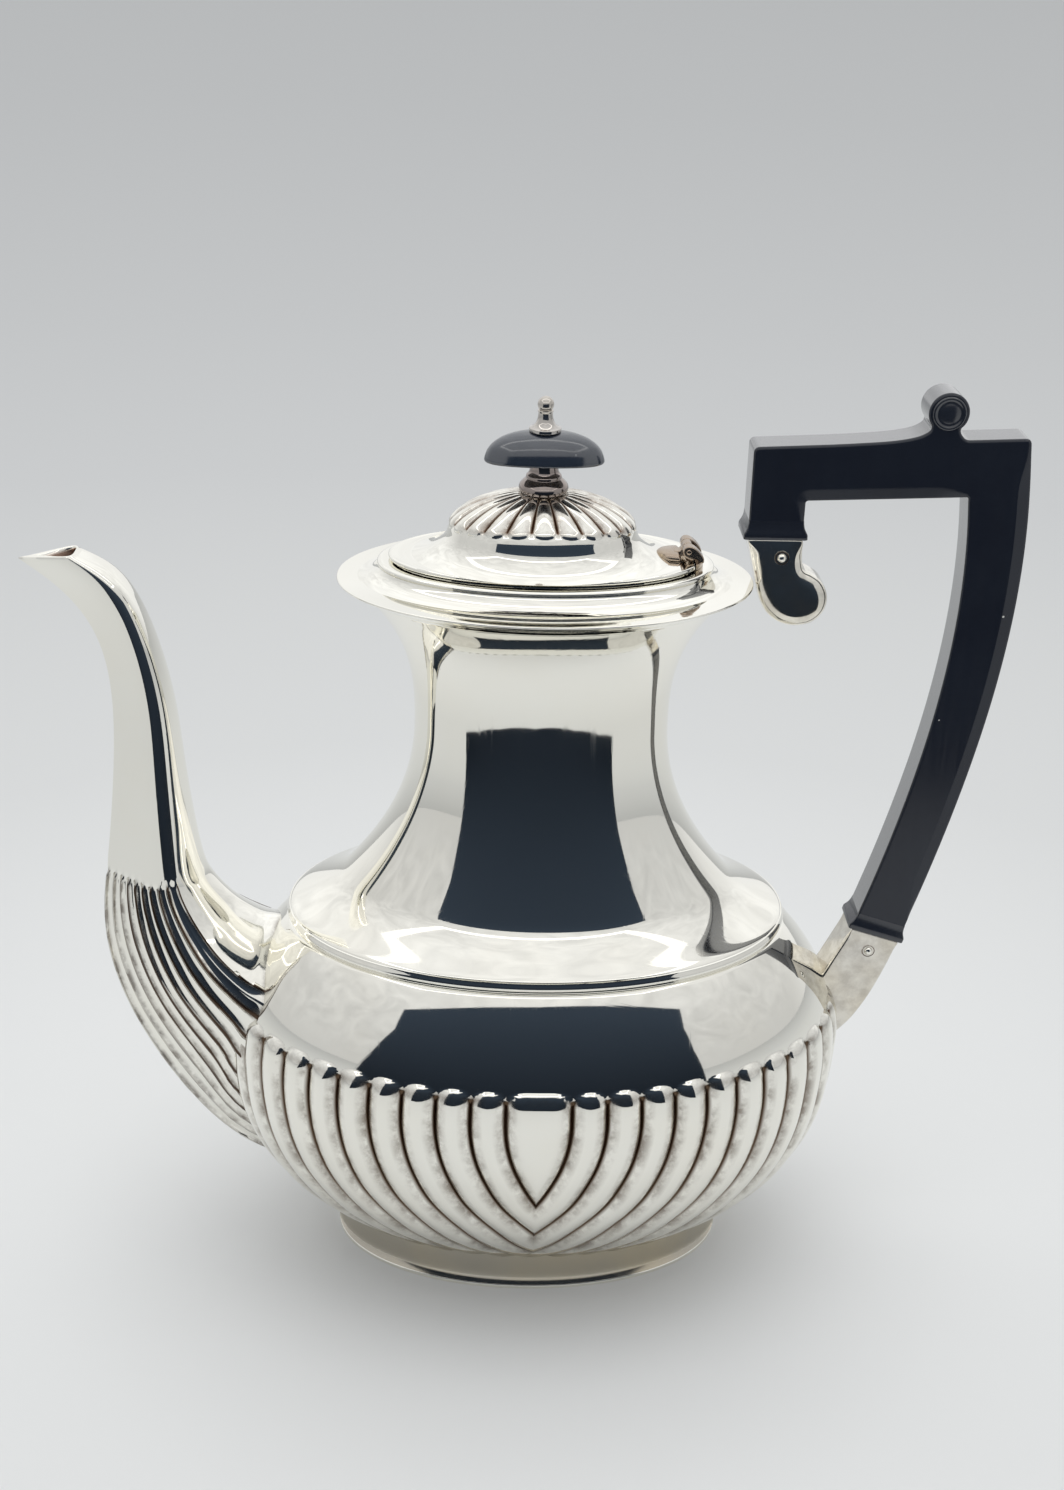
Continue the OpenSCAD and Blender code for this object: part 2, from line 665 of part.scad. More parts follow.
// Hinge near the handle's end of the lid. The lid ends short of the hinge's fixed segment,
// and its knuckle turns between the two of the body.
hinge_clear = 0.3;
hinge_z = lid_top + knuckle_r + 1;
lid_cut = hinge_x + 1.2;
lid_a = mouth_len / 2 + lid_over;
lid_b = mouth_wid / 2 + lid_over;
knuckle_mid = hinge_len / 3;
knuckle_gap = 0.15;
ear_fit = 0.02;
leaf_t = 1.5;
leaf_l = 5.6;

module along_hinge(r, from, to) translate([axis_x + hinge_x, to, hinge_z])
    rotate([90, 0, 0]) cylinder(r = r, h = to - from, $fn = 40);

// Everything on the handle's side of the lid's end, further off by a clearance.
module past_lid(off) translate([axis_x + lid_cut + off, -lid_b, seat_top - bezel_h])
    cube([lid_a, 2 * lid_b, bezel_h + dome_h]);

module hinge_body_leaf() {
    ear = (hinge_len - knuckle_mid) / 2 - knuckle_gap;
    end = lid_a - 0.2;
    top = hinge_z + knuckle_r * 0.7;
    color(silver) difference() {
        union() {
            intersection() {
                translate([axis_x, 0, seat_top]) linear_extrude(height = lid_top - seat_top)
                    polygon([for (p = oval_ring(lid_a, lid_b, 0)) [p[0], p[1]]]);
                past_lid(hinge_clear);
            }
            for (s = [-1, 1]) {
                y0 = s < 0 ? -hinge_len / 2 : hinge_len / 2 - ear;
                along_hinge(knuckle_r, y0, y0 + ear);
                translate([axis_x + hinge_x, y0, lid_top + hinge_clear])
                    cube([end - hinge_x, ear, top - lid_top - hinge_clear]);
                translate([axis_x + lid_cut + 2 * hinge_clear, y0, lid_top - hinge_clear])
                    cube([end - lid_cut - 2 * hinge_clear, ear, top - lid_top]);
            }
        }
        along_hinge(hinge_pin_r + ear_fit, -hinge_len, hinge_len);
    }
}

module hinge_pin() color(silver) along_hinge(hinge_pin_r, -hinge_len / 2 - 0.4, hinge_len / 2 + 0.4);

// Petal-shaped leaf on the lid, with the middle knuckle.
module hinge_lid_leaf() {
    end = hinge_x - knuckle_r - hinge_clear;
    half = hinge_len / 2;
    color(silver) difference() {
        union() {
            translate([axis_x, 0, lid_top]) linear_extrude(height = leaf_t) polygon([
                [end, -half],
                [end, half],
                [end - leaf_l * 0.6, half - 0.8],
                [end - leaf_l * 0.9, half - 2.6],
                [end - leaf_l, 0],
                [end - leaf_l * 0.9, 2.6 - half],
                [end - leaf_l * 0.6, 0.8 - half]]);
            translate([axis_x + end - 1, -knuckle_mid / 2, lid_top])
                cube([hinge_x - end + 1, knuckle_mid, leaf_t]);
            along_hinge(knuckle_r, -knuckle_mid / 2, knuckle_mid / 2);
        }
        along_hinge(hinge_pin_r + hinge_fit, -hinge_len, hinge_len);
    }
}

// Lid: flat edge, fillet, plain band and fluted dome. Rows give share of the dome's size and height.
dome_rows = [
    [1.07, 0.1],
    [1.01, 0.22],
    [0.98, 0.36],
    [0.94, 0.5],
    [0.85, 0.65],
    [0.72, 0.79],
    [0.57, 0.9],
    [0.42, 0.97]];
dome_cut = [0, 0, 0, 0, 0.6, 0.9, 0.8, 0.3];
dome_t = 1;
dome_x = axis_x - dome_off;
lid_n = dome_flutes * 4;
function lid_ring(x, a, b, z, deep) = [for (k = [0:lid_n - 1])
    let (cut = k % 4 == 0 ? deep : 0) [x, 0, 0] + oval_pt(a - cut, b - cut, z, 360 * k / lid_n)];
function dome_ring(i, in, deep) = lid_ring(
    dome_x,
    dome_len / 2 * dome_rows[i][0] - 1.6 * in,
    dome_wid / 2 * dome_rows[i][0] - 1.6 * in,
    lid_top + dome_h * dome_rows[i][1] - in,
    deep);

module lid() {
    a = dome_len / 2;
    b = dome_wid / 2;
    r = finial_base_r + 1;
    fillet = 1.9;
    color(silver) difference() {
        skin(concat(
            [for (i = [7:-1:0]) dome_ring(i, dome_t, 0)],
            [lid_ring(dome_x, a - dome_t, b - dome_t, lid_z, 0),
                lid_ring(axis_x, lid_a, lid_b, lid_z, 0),
                lid_ring(axis_x, lid_a, lid_b, lid_top, 0),
                lid_ring(dome_x, a + fillet, b + fillet, lid_top, 0)],
            [for (i = [0:7]) dome_ring(i, 0, dome_cut[i])],
            [lid_ring(dome_x, r, r, dome_top, 0)]), false);
        past_lid(0);
        translate([dome_x, 0, 0]) cylinder(r = spindle_r + spindle_room, h = 2 * dome_top, $fn = 40);
    }
}

// Ring under the lid that drops inside the seat, open at the hinge.
module lid_bezel() {
    a = mouth_len / 2 - lid_gap;
    b = mouth_wid / 2 - lid_gap;
    color(silver) difference() {
        translate([axis_x, 0, 0]) skin([
            oval_ring(a, b, lid_z - bezel_h),
            oval_ring(a, b, lid_z),
            oval_ring(a - 1, b - 1, lid_z),
            oval_ring(a - 1, b - 1, lid_z - bezel_h)]);
        past_lid(0);
    }
}

knob_z = dome_top + finial_base_h;
cap_z = knob_z + knob_h;
spindle_room = 0.2;

module finial_base() {
    r = finial_base_r;
    h = finial_base_h;
    color(silver) translate([dome_x, 0, dome_top]) rotate_extrude($fn = curve_fn) polygon([
        [spindle_r + spindle_room, 0], [r, 0], [r, 1.1], [r - 0.6, 1.8], [r - 1.3, 2.7],
        [3.5, h - 2.4], [3.2, h - 1.3], [3.6, h - 0.7], [3.6, h], [spindle_r + spindle_room, h]]);
}

// Mushroom knob, oval in plan, with drooping ends. Rows give inset from the edge and height.
knob_rows = [[0.7, 0.1], [0, 0.8], [0.4, 2.2], [1.6, 3.7], [3.6, 5], [6.2, 6], [8.2, 6.5]];
knob_n = 64;
function knob_ring(in, up, droop) =
    let (a = knob_len / 2 - in, b = knob_wid / 2 - in * knob_wid / knob_len)
    [for (k = [0:knob_n - 1]) let (t = 360 * k / knob_n)
        [a * cos(t), b * sin(t), up - droop * cos(t) * cos(t)]];

knob_full = 6.8;
knob_seat_r = 4.4;
knob_flat_r = 3.9;
function round_ring(r, z) = [for (k = [0:knob_n - 1])
    let (t = 360 * k / knob_n) [r * cos(t), r * sin(t), z]];

module finial_knob() color(ebony) translate([dome_x, 0, knob_z]) difference() {
    skin(concat(
        [round_ring(knob_seat_r, 0)],
        [for (r = knob_rows) let (up = r[1] / knob_full)
            knob_ring(r[0], up * knob_h, knob_droop * (1 - up))],
        [round_ring(knob_flat_r, knob_h)]), false);
    translate([0, 0, -1]) cylinder(r = spindle_r + spindle_room, h = knob_h + 2, $fn = 40);
}

// Turned cap with a ball, and the spindle that runs down through knob and lid.
// Rows give shares of the cap's radius and of its height under the ball.
cap_rows = [
    [1, 0],
    [1, 0.15],
    [0.81, 0.25],
    [0.54, 0.38],
    [0.46, 0.53],
    [0.43, 0.67],
    [0.49, 0.74],
    [0.49, 0.8],
    [0.34, 0.85],
    [0.34, 1]];
module finial_cap() {
    top = cap_h - ball_r;
    low = under_dome - spindle_end - cap_z;
    color(silver) translate([dome_x, 0, cap_z]) union() {
        rotate_extrude($fn = curve_fn) polygon(concat(
            [[0, low], [spindle_r, low], [spindle_r, 0]],
            [for (r = cap_rows) [cap_r * r[0], top * r[1]]],
            [[0, top]]));
        translate([0, 0, top]) sphere(r = ball_r, $fn = curve_fn);
    }
}

// Washer and nut that hold the finial under the dome.
under_dome = lid_top + dome_h * dome_rows[7][1] - dome_t;
washer_t = 0.8;
nut_h = 2.4;
nut_fit = 0.03;
spindle_end = 4.2;
module finial_washer() color(silver) translate([dome_x, 0, under_dome - washer_t - tiny]) difference() {
    cylinder(r = 4.4, h = washer_t, $fn = 48);
    translate([0, 0, -1]) cylinder(r = spindle_r + spindle_room, h = 3, $fn = 40);
}

module finial_nut() {
    low = under_dome - washer_t - nut_h - 2 * tiny;
    color(silver) translate([dome_x, 0, low]) difference() {
        cylinder(r = 3, h = nut_h, $fn = 6);
        translate([0, 0, -1]) cylinder(r = spindle_r + nut_fit, h = nut_h + 2, $fn = 40);
    }
}

foot_wire();
foot_ring();
base_plate();
lower_bowl();
shoulder_band();
upper_body();
rim_flange();
lid_seat_ring();
spout();
upper_socket();
lower_socket();
handle();
upper_handle_pin();
lower_handle_pin();
hinge_body_leaf();
hinge_pin();
lid();
lid_bezel();
hinge_lid_leaf();
finial_base();
finial_knob();
finial_cap();
finial_washer();
finial_nut();
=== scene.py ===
import math

import bpy
import numpy as np
from mathutils import Matrix


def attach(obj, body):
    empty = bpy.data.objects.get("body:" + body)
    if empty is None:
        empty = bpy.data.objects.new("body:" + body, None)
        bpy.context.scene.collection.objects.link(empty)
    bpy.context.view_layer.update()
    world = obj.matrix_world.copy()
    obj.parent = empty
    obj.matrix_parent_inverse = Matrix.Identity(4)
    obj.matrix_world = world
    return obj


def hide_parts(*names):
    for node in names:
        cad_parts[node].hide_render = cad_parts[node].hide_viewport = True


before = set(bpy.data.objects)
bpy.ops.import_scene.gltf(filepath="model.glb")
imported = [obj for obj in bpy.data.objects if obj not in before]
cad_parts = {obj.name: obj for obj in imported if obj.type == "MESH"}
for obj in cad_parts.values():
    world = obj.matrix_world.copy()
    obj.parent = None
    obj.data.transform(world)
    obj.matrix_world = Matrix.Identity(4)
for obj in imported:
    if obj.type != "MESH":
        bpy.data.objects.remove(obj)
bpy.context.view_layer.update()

# All measures below are millimetres in the part's frame, and become metres where a mesh is written.
# A pair is half the length and half the width of an oval.
MM = 0.001
POT_X = 5.7
OVAL = 2.05
WALL = 1.2
FOOT = (49.7, 30.6)
FOOT_TOP = 10.0
EDGE_H = 1.2
BOWL_BASE = (49.0, 30.0)
BELLY = (75.7, 53.0)
BELLY_Z = 59.0
SHOULDER = (60.3, 40.4)
SHOULDER_Z = 92.6
NECK_Z = 95.4
ROLL_Z = 104.2
ROLL_OUT = (16.7, 9.8)
ROLL_DROP = 4.8
WAIST = (30.0, 20.0)
WAIST_Z = 144.0
NECK_TOP = (41.5, 28.5)
NECK_TOP_Z = 176.0
RIM = (47.8, 33.4)
MOUTH = (35.2, 19.2)
LID = (36.0, 20.0)
LID_Z = 184.0
LID_TOP = 185.0
LID_END = POT_X + 33.4
DOME = (22.2, 16.0)
DOME_X = POT_X - 1.0
DOME_H = 14.6
DOME_TOP = LID_TOP + DOME_H
KNOB_Z = 206.8
CAP_Z = 213.6
# Points round the plain rings and the finer ones that show reflections
AROUND = 192
FINE = 224
# Radius that closes a turned end, and the length in metres below which points are one
POINT = 0.001
MERGE = 0.000001
PLATE = "polished silver plate"
TARNISHED = "tarnished silver plate"


# Modelling helpers

def only(piece):
    bpy.ops.object.select_all(action="DESELECT")
    piece.select_set(True)
    bpy.context.view_layer.objects.active = piece


def name_new(name):
    """Name the object that was just added."""
    piece = bpy.context.object
    piece.name = piece.data.name = name
    return piece


def open_mesh(piece):
    only(piece)
    bpy.ops.object.mode_set(mode="EDIT")
    bpy.ops.mesh.select_all(action="SELECT")


def close_mesh():
    bpy.ops.mesh.select_all(action="SELECT")
    bpy.ops.mesh.normals_make_consistent(inside=False)
    bpy.ops.object.mode_set(mode="OBJECT")


def shade(crease):
    bpy.ops.object.shade_smooth_by_angle(angle=math.radians(crease))


def raise_rings(name, rows, marks=None, crease=50.0):
    """A circle extruded ring by ring, each ring then drawn to its own outline; marks become attributes."""
    rows = np.asarray(rows, float)
    count, around = rows.shape[:2]
    bpy.ops.mesh.primitive_circle_add(vertices=around, radius=1.0)
    piece = name_new(name)
    open_mesh(piece)
    for _ in range(count - 1):
        bpy.ops.mesh.extrude_region_move(TRANSFORM_OT_translate={"value": (0.0, 0.0, 1.0)})
    bpy.ops.object.mode_set(mode="OBJECT")
    mesh = piece.data
    at = np.empty(len(mesh.vertices) * 3)
    mesh.vertices.foreach_get("co", at)
    at = at.reshape(-1, 3)
    turn = np.arctan2(at[:, 1], at[:, 0])
    ring = np.rint(at[:, 2]).astype(int)
    place = np.rint((turn - turn[0]) * around / (2 * math.pi)).astype(int) % around
    mesh.vertices.foreach_set("co", (rows[ring, place] * MM).ravel())
    for mark, values in (marks or {}).items():
        values = np.broadcast_to(np.asarray(values, np.float32), (count, around))
        mesh.attributes.new(mark, "FLOAT", "POINT").data.foreach_set("value", values[ring, place])
    mesh.update()
    open_mesh(piece)
    bpy.ops.mesh.remove_doubles(threshold=MERGE)
    bpy.ops.mesh.dissolve_degenerate(threshold=MERGE / 2)
    close_mesh()
    shade(crease)
    return piece


def turns(around):
    return np.arange(around) * 2 * math.pi / around


def oval(a, b, t):
    c, s = np.cos(t), np.sin(t)
    return a * np.sign(c) * np.abs(c) ** (2 / OVAL), b * np.sign(s) * np.abs(s) ** (2 / OVAL)


def oval_ring(a, b, z, t, x=POT_X):
    u, v = oval(a, b, t)
    return np.stack([x + u, v, np.full_like(u, z)], axis=-1)


def oval_rows(outline, around, x=POT_X):
    t = turns(around)
    return [oval_ring(a, b, z, t, x) for a, b, z in outline]


def beyond(size, steps, base=0.0):
    """Outline that lies beyond an oval by the first number of each step, at the height of the second."""
    return [(size[0] + out, size[1] + out, base + z) for out, z in steps]


def round_rows(outline, around, x):
    t = turns(around)
    return [np.stack([x + r * np.cos(t), r * np.sin(t), np.full_like(t, z)], axis=-1) for r, z in outline]


def pin_rows(middle, outline, around):
    """Rings about an axis along Y, from pairs of radius and y."""
    t = turns(around)
    return [np.stack([middle[0] + r * np.cos(t), np.full_like(t, y), middle[1] + r * np.sin(t)], axis=-1)
            for r, y in outline]


def through(stations, steps):
    """Smooth curve through stations of any shape, with this many steps between two."""
    stations = np.asarray(stations, float)
    last = len(stations) - 1
    out = []
    for i in range(last):
        p0, p1 = stations[max(i - 1, 0)], stations[i]
        p2, p3 = stations[i + 1], stations[min(i + 2, last)]
        for k in range(steps):
            f = k / steps
            out.append(0.5 * (2 * p1 + (p2 - p0) * f + (2 * p0 - 5 * p1 + 4 * p2 - p3) * f ** 2
                              + (3 * p1 - p0 - 3 * p2 + p3) * f ** 3))
    out.append(stations[last])
    return np.array(out)


def soften(values, spread):
    """Weighted mean of neighbouring rows; the ends stay where they are."""
    values = np.asarray(values, float)
    reach = int(3 * spread) + 1
    first = 2 * values[:1] - values[1:reach + 1][::-1]
    final = 2 * values[-1:] - values[-reach - 1:-1][::-1]
    long = np.concatenate([first, values, final])
    k = np.arange(-reach, reach + 1)
    w = np.exp(-0.5 * (k / spread) ** 2)
    w /= w.sum()
    return sum(wi * long[reach + ki:reach + ki + len(values)] for ki, wi in zip(k, w))


def smoothstep(low, high, v):
    f = np.clip((v - low) / (high - low), 0, 1)
    return f * f * (3 - 2 * f)


def run_along(rows):
    """Length from the first ring to each ring, for every point round it."""
    steps = np.linalg.norm(np.diff(rows, axis=0), axis=-1)
    return np.concatenate([np.zeros((1, rows.shape[1])), np.cumsum(steps, axis=0)])


def bulge(radius, dx, dy, power):
    """How far inside a round end a place is, and the height of the dome there as a share."""
    inside = radius - np.hypot(dx, dy)
    reach = np.clip(inside / radius, 0, 1)
    return inside, np.clip(1 - (1 - reach) ** 2, 0, 1) ** power


def unit(v):
    return v / np.maximum(np.linalg.norm(v, axis=-1, keepdims=True), 1e-9)


def surface_normals(rows):
    """Normals of a grid of rings, from its own neighbours."""
    rows = np.asarray(rows, float)
    along = np.gradient(rows, axis=0)
    around = np.roll(rows, -1, axis=1) - np.roll(rows, 1, axis=1)
    return unit(np.cross(around, along))


def flatten_shading(piece, crease):
    only(piece)
    shade(crease)
    even = piece.modifiers.new("flat faces first", "WEIGHTED_NORMAL")
    even.keep_sharp = True
    even.weight = 80
    bpy.ops.object.modifier_apply(modifier=even.name)


def fit_out(piece, body, slot, *nodes):
    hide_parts(*nodes)
    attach(piece, body)
    return piece


def fit_rings(name, rows, body, slot, node, marks=None, crease=50.0):
    return fit_out(raise_rings(name, rows, marks, crease), body, slot, node)


# Outlines of the pot

def bowl_at(z, which):
    z = np.asarray(z, float)
    base, belly, top = BOWL_BASE[which], BELLY[which], SHOULDER[which]
    low = base + (belly - base) * (1 - np.clip((BELLY_Z - z) / (BELLY_Z - FOOT_TOP), 0, None) ** 2.4)
    high = belly - (belly - top) * np.clip((z - BELLY_Z) / (SHOULDER_Z - BELLY_Z), 0, None) ** 2.4
    return np.where(z < BELLY_Z, low, high)


def neck_at(z, which):
    z = np.asarray(z, float)
    waist = WAIST[which]
    high = waist + (NECK_TOP[which] - waist) * np.clip((z - WAIST_Z) / (NECK_TOP_Z - WAIST_Z), 0, None) ** 2.7
    low = waist + ROLL_OUT[which] * np.clip((WAIST_Z - z) / (WAIST_Z - ROLL_Z), 0, None) ** 2.1
    return np.where(z > WAIST_Z, high, low)


def neck_outline():
    """Rows of the rolled shoulder, then of the flare."""
    t = np.linspace(0, 1, 40)[:-1, None]
    run = 2.1 * ROLL_DROP / (WAIST_Z - ROLL_Z)
    start, out = np.array([*SHOULDER, NECK_Z]), np.array([*ROLL_OUT, 0])
    end = [*WAIST, ROLL_Z] + out
    over, lead = start + [0, 0, 0.8], end + out * run - [0, 0, ROLL_DROP]
    roll = (1 - t) ** 3 * start + 3 * (1 - t) ** 2 * t * over + 3 * (1 - t) * t ** 2 * lead + t ** 3 * end
    z = np.linspace(ROLL_Z, NECK_TOP_Z, 110)
    flare = np.stack([neck_at(z, 0), neck_at(z, 1), z], axis=-1)
    return soften(np.concatenate([roll, flare]), 2.0)


# Foot: a wire edge under a concave skirt

def make_foot():
    wire = [(-0.25, 0.0), (-0.05, 0.12), (0.0, 0.35), (0.02, 0.6), (0.0, 0.85), (-0.08, 1.05), (-0.3, 1.2),
            (-2.2, 1.2), (-2.2, 0.0), (-0.25, 0.0)]
    edge = fit_rings("foot_edge", oval_rows(beyond(FOOT, wire), AROUND), "pot", PLATE, "foot_wire")
    up = np.linspace(0, 1, 30)
    sizes = [top - 0.7 + (low - 0.1 - top + 0.7) * (1 - up) ** 7.0 for top, low in zip(BOWL_BASE, FOOT)]
    outline = soften(np.stack([*sizes, EDGE_H + (FOOT_TOP - EDGE_H) * up], axis=-1), 1.0)
    rows = oval_rows([*outline, *(outline[::-2] - [WALL, WALL, 0]), outline[0]], AROUND)
    return fit_rings("foot_skirt", rows, "pot", TARNISHED, "foot_ring"), edge


# Lower bowl: lobes that rise from the foot and meet in a middle shield

SHIELD = 7.75
PITCH = 8.25
LOBES = 11
LOBE_TOP = 73.0
LOBE_ROUND = 4.1
LEAN_Z = [10.0, 13.5, 20.0, 30.0, 40.5, 46.0, 51.5, 57.0, 62.0, 70.0, 95.0]
LEAN = [25.0, 23.5, 20.6, 15.65, 7.75, 5.1, 2.5, 0.8, 0.0, 0.0, 0.0]


def quarter_arc(z):
    """Turn and length along a quarter of the bowl's ring, from its front middle to its end."""
    t = np.linspace(math.pi / 2, 0, 1201)
    u, v = oval(bowl_at(z, 0), bowl_at(z, 1), t)
    step = np.hypot(np.diff(u), np.diff(v))
    return u, v, np.concatenate([[0], np.cumsum(step)])


def lobe_share(kept, full):
    """Middle and half width of the lobe that a place round the quarter belongs to."""
    lobes_end = SHIELD + LOBES * PITCH
    which = [kept >= lobes_end - 1e-6, kept < SHIELD]
    number = np.floor((kept - SHIELD) / PITCH)
    return (np.select(which, [full, 0.0], SHIELD + (number + 0.5) * PITCH),
            np.select(which, [full - lobes_end, SHIELD], PITCH / 2))


def bowl_normals(x, y, z):
    a, b = float(bowl_at(z, 0)), float(bowl_at(z, 1))
    da, db = (float(bowl_at(z + 0.01, k) - bowl_at(z - 0.01, k)) / 0.02 for k in (0, 1))
    return unit(np.stack([np.abs(x / a) ** (OVAL - 1) / a, np.abs(y / b) ** (OVAL - 1) / b,
                          -(np.abs(x / a) ** OVAL * da / a + np.abs(y / b) ** OVAL * db / b)], axis=-1))


def make_bowl():
    full = quarter_arc(BELLY_Z)[2][-1]
    lobes_end = SHIELD + LOBES * PITCH
    ease = np.sin(np.linspace(-0.5, 0.5, 13) * math.pi)
    across = np.concatenate([np.linspace(0, SHIELD, 9)[:-1],
                             *(SHIELD + k * PITCH + PITCH * (ease[:-1] + 1) / 2 for k in range(LOBES)),
                             lobes_end + (full - lobes_end) * (ease[:7] + 1) / (ease[6] + 1)])
    z_rows = np.unique(np.concatenate([np.linspace(low, high, count) for low, high, count in (
        (FOOT_TOP, 15, 8), (15, 64, 56), (64, 68, 9), (68, 74, 42), (74, SHOULDER_Z, 20))]).round(4))
    lean_z = np.linspace(10, 95, 341)
    lean_soft = soften(np.interp(lean_z, LEAN_Z, LEAN), 10)
    run_z = np.linspace(FOOT_TOP, SHOULDER_Z, 400)
    run = np.concatenate([[0], np.cumsum(np.hypot(np.diff(bowl_at(run_z, 1)), np.diff(run_z)))])
    top_run = np.interp(LOBE_TOP, run_z, run)
    rows, marks = [], []
    for z in z_rows:
        u, v, arc = quarter_arc(z)
        lean = max(float(np.interp(z, lean_z, lean_soft)), 0.0)
        squeeze = 1 - (full - arc[-1] - lean) / full
        at = np.clip(across * squeeze - lean, 0, None)
        kept = np.maximum(across, lean / squeeze)
        x, y = np.interp(at, arc, u), np.interp(at, arc, v)
        middle, size = lobe_share(kept, full)
        side, size = np.abs(kept - middle) * squeeze, size * squeeze
        below = top_run - np.interp(z, run_z, run)
        radius = np.minimum(LOBE_ROUND, size)
        inside, dome = bulge(radius, np.maximum(side - (size - radius), 0), np.maximum(radius - below, 0), 0.72)
        gutter = -0.8 * smoothstep(0.3, 1.35, below / LOBE_ROUND)
        fade = 0.6 + 0.4 * smoothstep(10, 30, z)
        crest = 1.45 - 0.55 * smoothstep(3, 22, below)
        lift = (gutter + (crest - gutter) * dome) * fade * (below > 0)
        dirt = np.clip(1 - inside / (0.75 * radius), 0, 1) * smoothstep(0.2, 0.6, below / LOBE_ROUND)
        # p runs from the middle of a long side (y positive) to the end (x positive)
        p = np.stack([x, y, np.full_like(x, z)], axis=-1) + bowl_normals(x, y, z) * lift[:, None]
        p[:, 2] = np.clip(p[:, 2], FOOT_TOP, SHOULDER_Z)
        left_front = p[:-1] * [-1, -1, 1]
        left_front[0, 0] = 0
        ring = np.concatenate([p, p[-2:0:-1] * [1, -1, 1], left_front, p[-1:0:-1] * [-1, 1, 1]])
        rows.append(ring + [POT_X, 0, 0])
        marks.append(np.concatenate([dirt, dirt[-2:0:-1], dirt[:-1], dirt[-1:0:-1]]))
    for z in np.linspace(SHOULDER_Z, FOOT_TOP, 16):
        turn = math.pi / 2 - turns(len(rows[0]))
        rows.append(oval_ring(float(bowl_at(z, 0)) - WALL, float(bowl_at(z, 1)) - WALL, z, turn))
        marks.append(np.zeros(len(turn)))
    rows.append(rows[0])
    marks.append(marks[0])
    return fit_rings("lower_bowl_lobed", rows, "pot", PLATE, "lower_bowl", {"groove": marks}, 60)


def make_shoulder_band():
    bead = [(0.0, 0.0), (0.3, 0.1), (0.36, 0.45), (0.62, 0.75), (0.78, 1.2), (0.8, 1.4), (0.78, 1.6),
            (0.62, 2.05), (0.36, 2.35), (0.3, 2.7), (0.0, 2.8), (-WALL, 2.8), (-WALL, 0.0), (0.0, 0.0)]
    rows = oval_rows(beyond(SHOULDER, bead, SHOULDER_Z), AROUND)
    return fit_rings("shoulder_bead", rows, "pot", PLATE, "shoulder_band")


def make_neck():
    outside = neck_outline()
    rows = oval_rows([*outside, *(outside[::-6] - [WALL, WALL, 0]), outside[0]], FINE)
    return fit_rings("upper_body_neck", rows, "pot", PLATE, "upper_body")


def make_rim():
    a, b = NECK_TOP
    flare = [(a - 0.2, b - 0.2, 175.6), (a + 0.35, b + 0.3, 176.2), (a + 2.2, b + 1.8, 177.2),
             (a + 4.4, b + 3.5, 178.1)]
    edge = [(-0.5, 178.85), (-0.1, 179.1), (0.0, 179.32), (-0.06, 179.48), (-0.2, 179.56), (-0.6, 179.58),
            (-1.6, 179.6), (-3.2, 179.64), (-5.4, 179.69), (-6.6, 179.72)]
    outline = list(through(flare + beyond(RIM, edge), 5))
    outline += beyond(MOUTH, [(0.0, 179.6), (0.0, 178.5)])
    outline += beyond(NECK_TOP, [(-2.4, 178.1), (-WALL, 176.0), (-WALL, 175.6)]) + outline[:1]
    return fit_rings("rim", oval_rows(outline, FINE), "pot", PLATE, "rim_flange")


def make_seat():
    """Cove from the rim up to a bead that the lid's edge rests over."""
    cove = [(8.4, 179.6), (7.4, 179.74), (6.2, 180.0), (5.1, 180.42), (4.2, 180.98), (3.55, 181.6), (3.2, 182.1),
            (3.1, 182.4), (3.28, 182.62), (3.36, 182.95), (3.2, 183.3), (2.8, 183.54), (2.2, 183.6), (1.6, 183.6)]
    outline = beyond(MOUTH, [*through(cove, 4), (0.0, 183.6), (0.0, 179.5), cove[0]])
    return fit_rings("lid_seat", oval_rows(outline, FINE), "pot", PLATE, "lid_seat_ring")


# Spout: a bent, tapering tube with reeds on the outside of its lower half

BOWL_END = -75.7
SPOUT = [(11.5, 37, -9, 90.5, 20.5), (24.5, 60, -5.5, 92.5, 18), (30.3, 80, -1.5, 95.5, 14.5),
         (30.4, 95, 3.2, 101, 12), (28.6, 106, 5.8, 107.5, 10.4), (26, 128, 8.6, 128, 8.4),
         (25, 148, 10.5, 148.5, 7.1), (27.4, 163, 15.2, 167, 6.3), (34.3, 174, 21.6, 178.5, 5.7),
         (44.3, 182, 30.8, 183.8, 4.1)]
ROOT_Z, ROOT_H, ROOT_W = 53.0, 37.0, 22.0
RIDGE = 0.46
REEDS = 9
REEDS_TOP = 102.7
SPOUT_AROUND = 420
SPOUT_STEPS = 10
ROOT_SECTION = (0.65, 0.0, 1.0)
SECTIONS = [(0.62, 0.0, 1.0), (0.56, 0.0, 1.0), (0.5, 0.0, 0.9), (0.46, 0.0, 0.7), (0.44, 0.0, 0.5),
            (0.4, 0.0, 0.25), (0.4, 0.1, 0.15), (0.42, 0.35, 0.1), (0.52, 0.7, 0.0), (0.62, 1.0, 0.0)]


def section_width(t, blunt, fold):
    """Share of the half width: narrow at the outer edge, widest at the ridge, folded or blunt behind it."""
    def pear(a):
        return np.abs(np.sin(a)) ** (1 - 0.5 * blunt) * (1 + (0.8 + 0.2 * blunt) * np.cos(a))

    side = pear(t) / pear(np.linspace(0, math.pi, 721)).max()
    behind = np.clip((np.cos(t) - RIDGE) / (1 - RIDGE), 0, 1)
    folded = np.where(np.cos(t) < RIDGE, side, (1 - behind ** 1.15) ** 0.75)
    return np.sign(np.sin(t)) * ((1 - fold) * side + fold * folded)


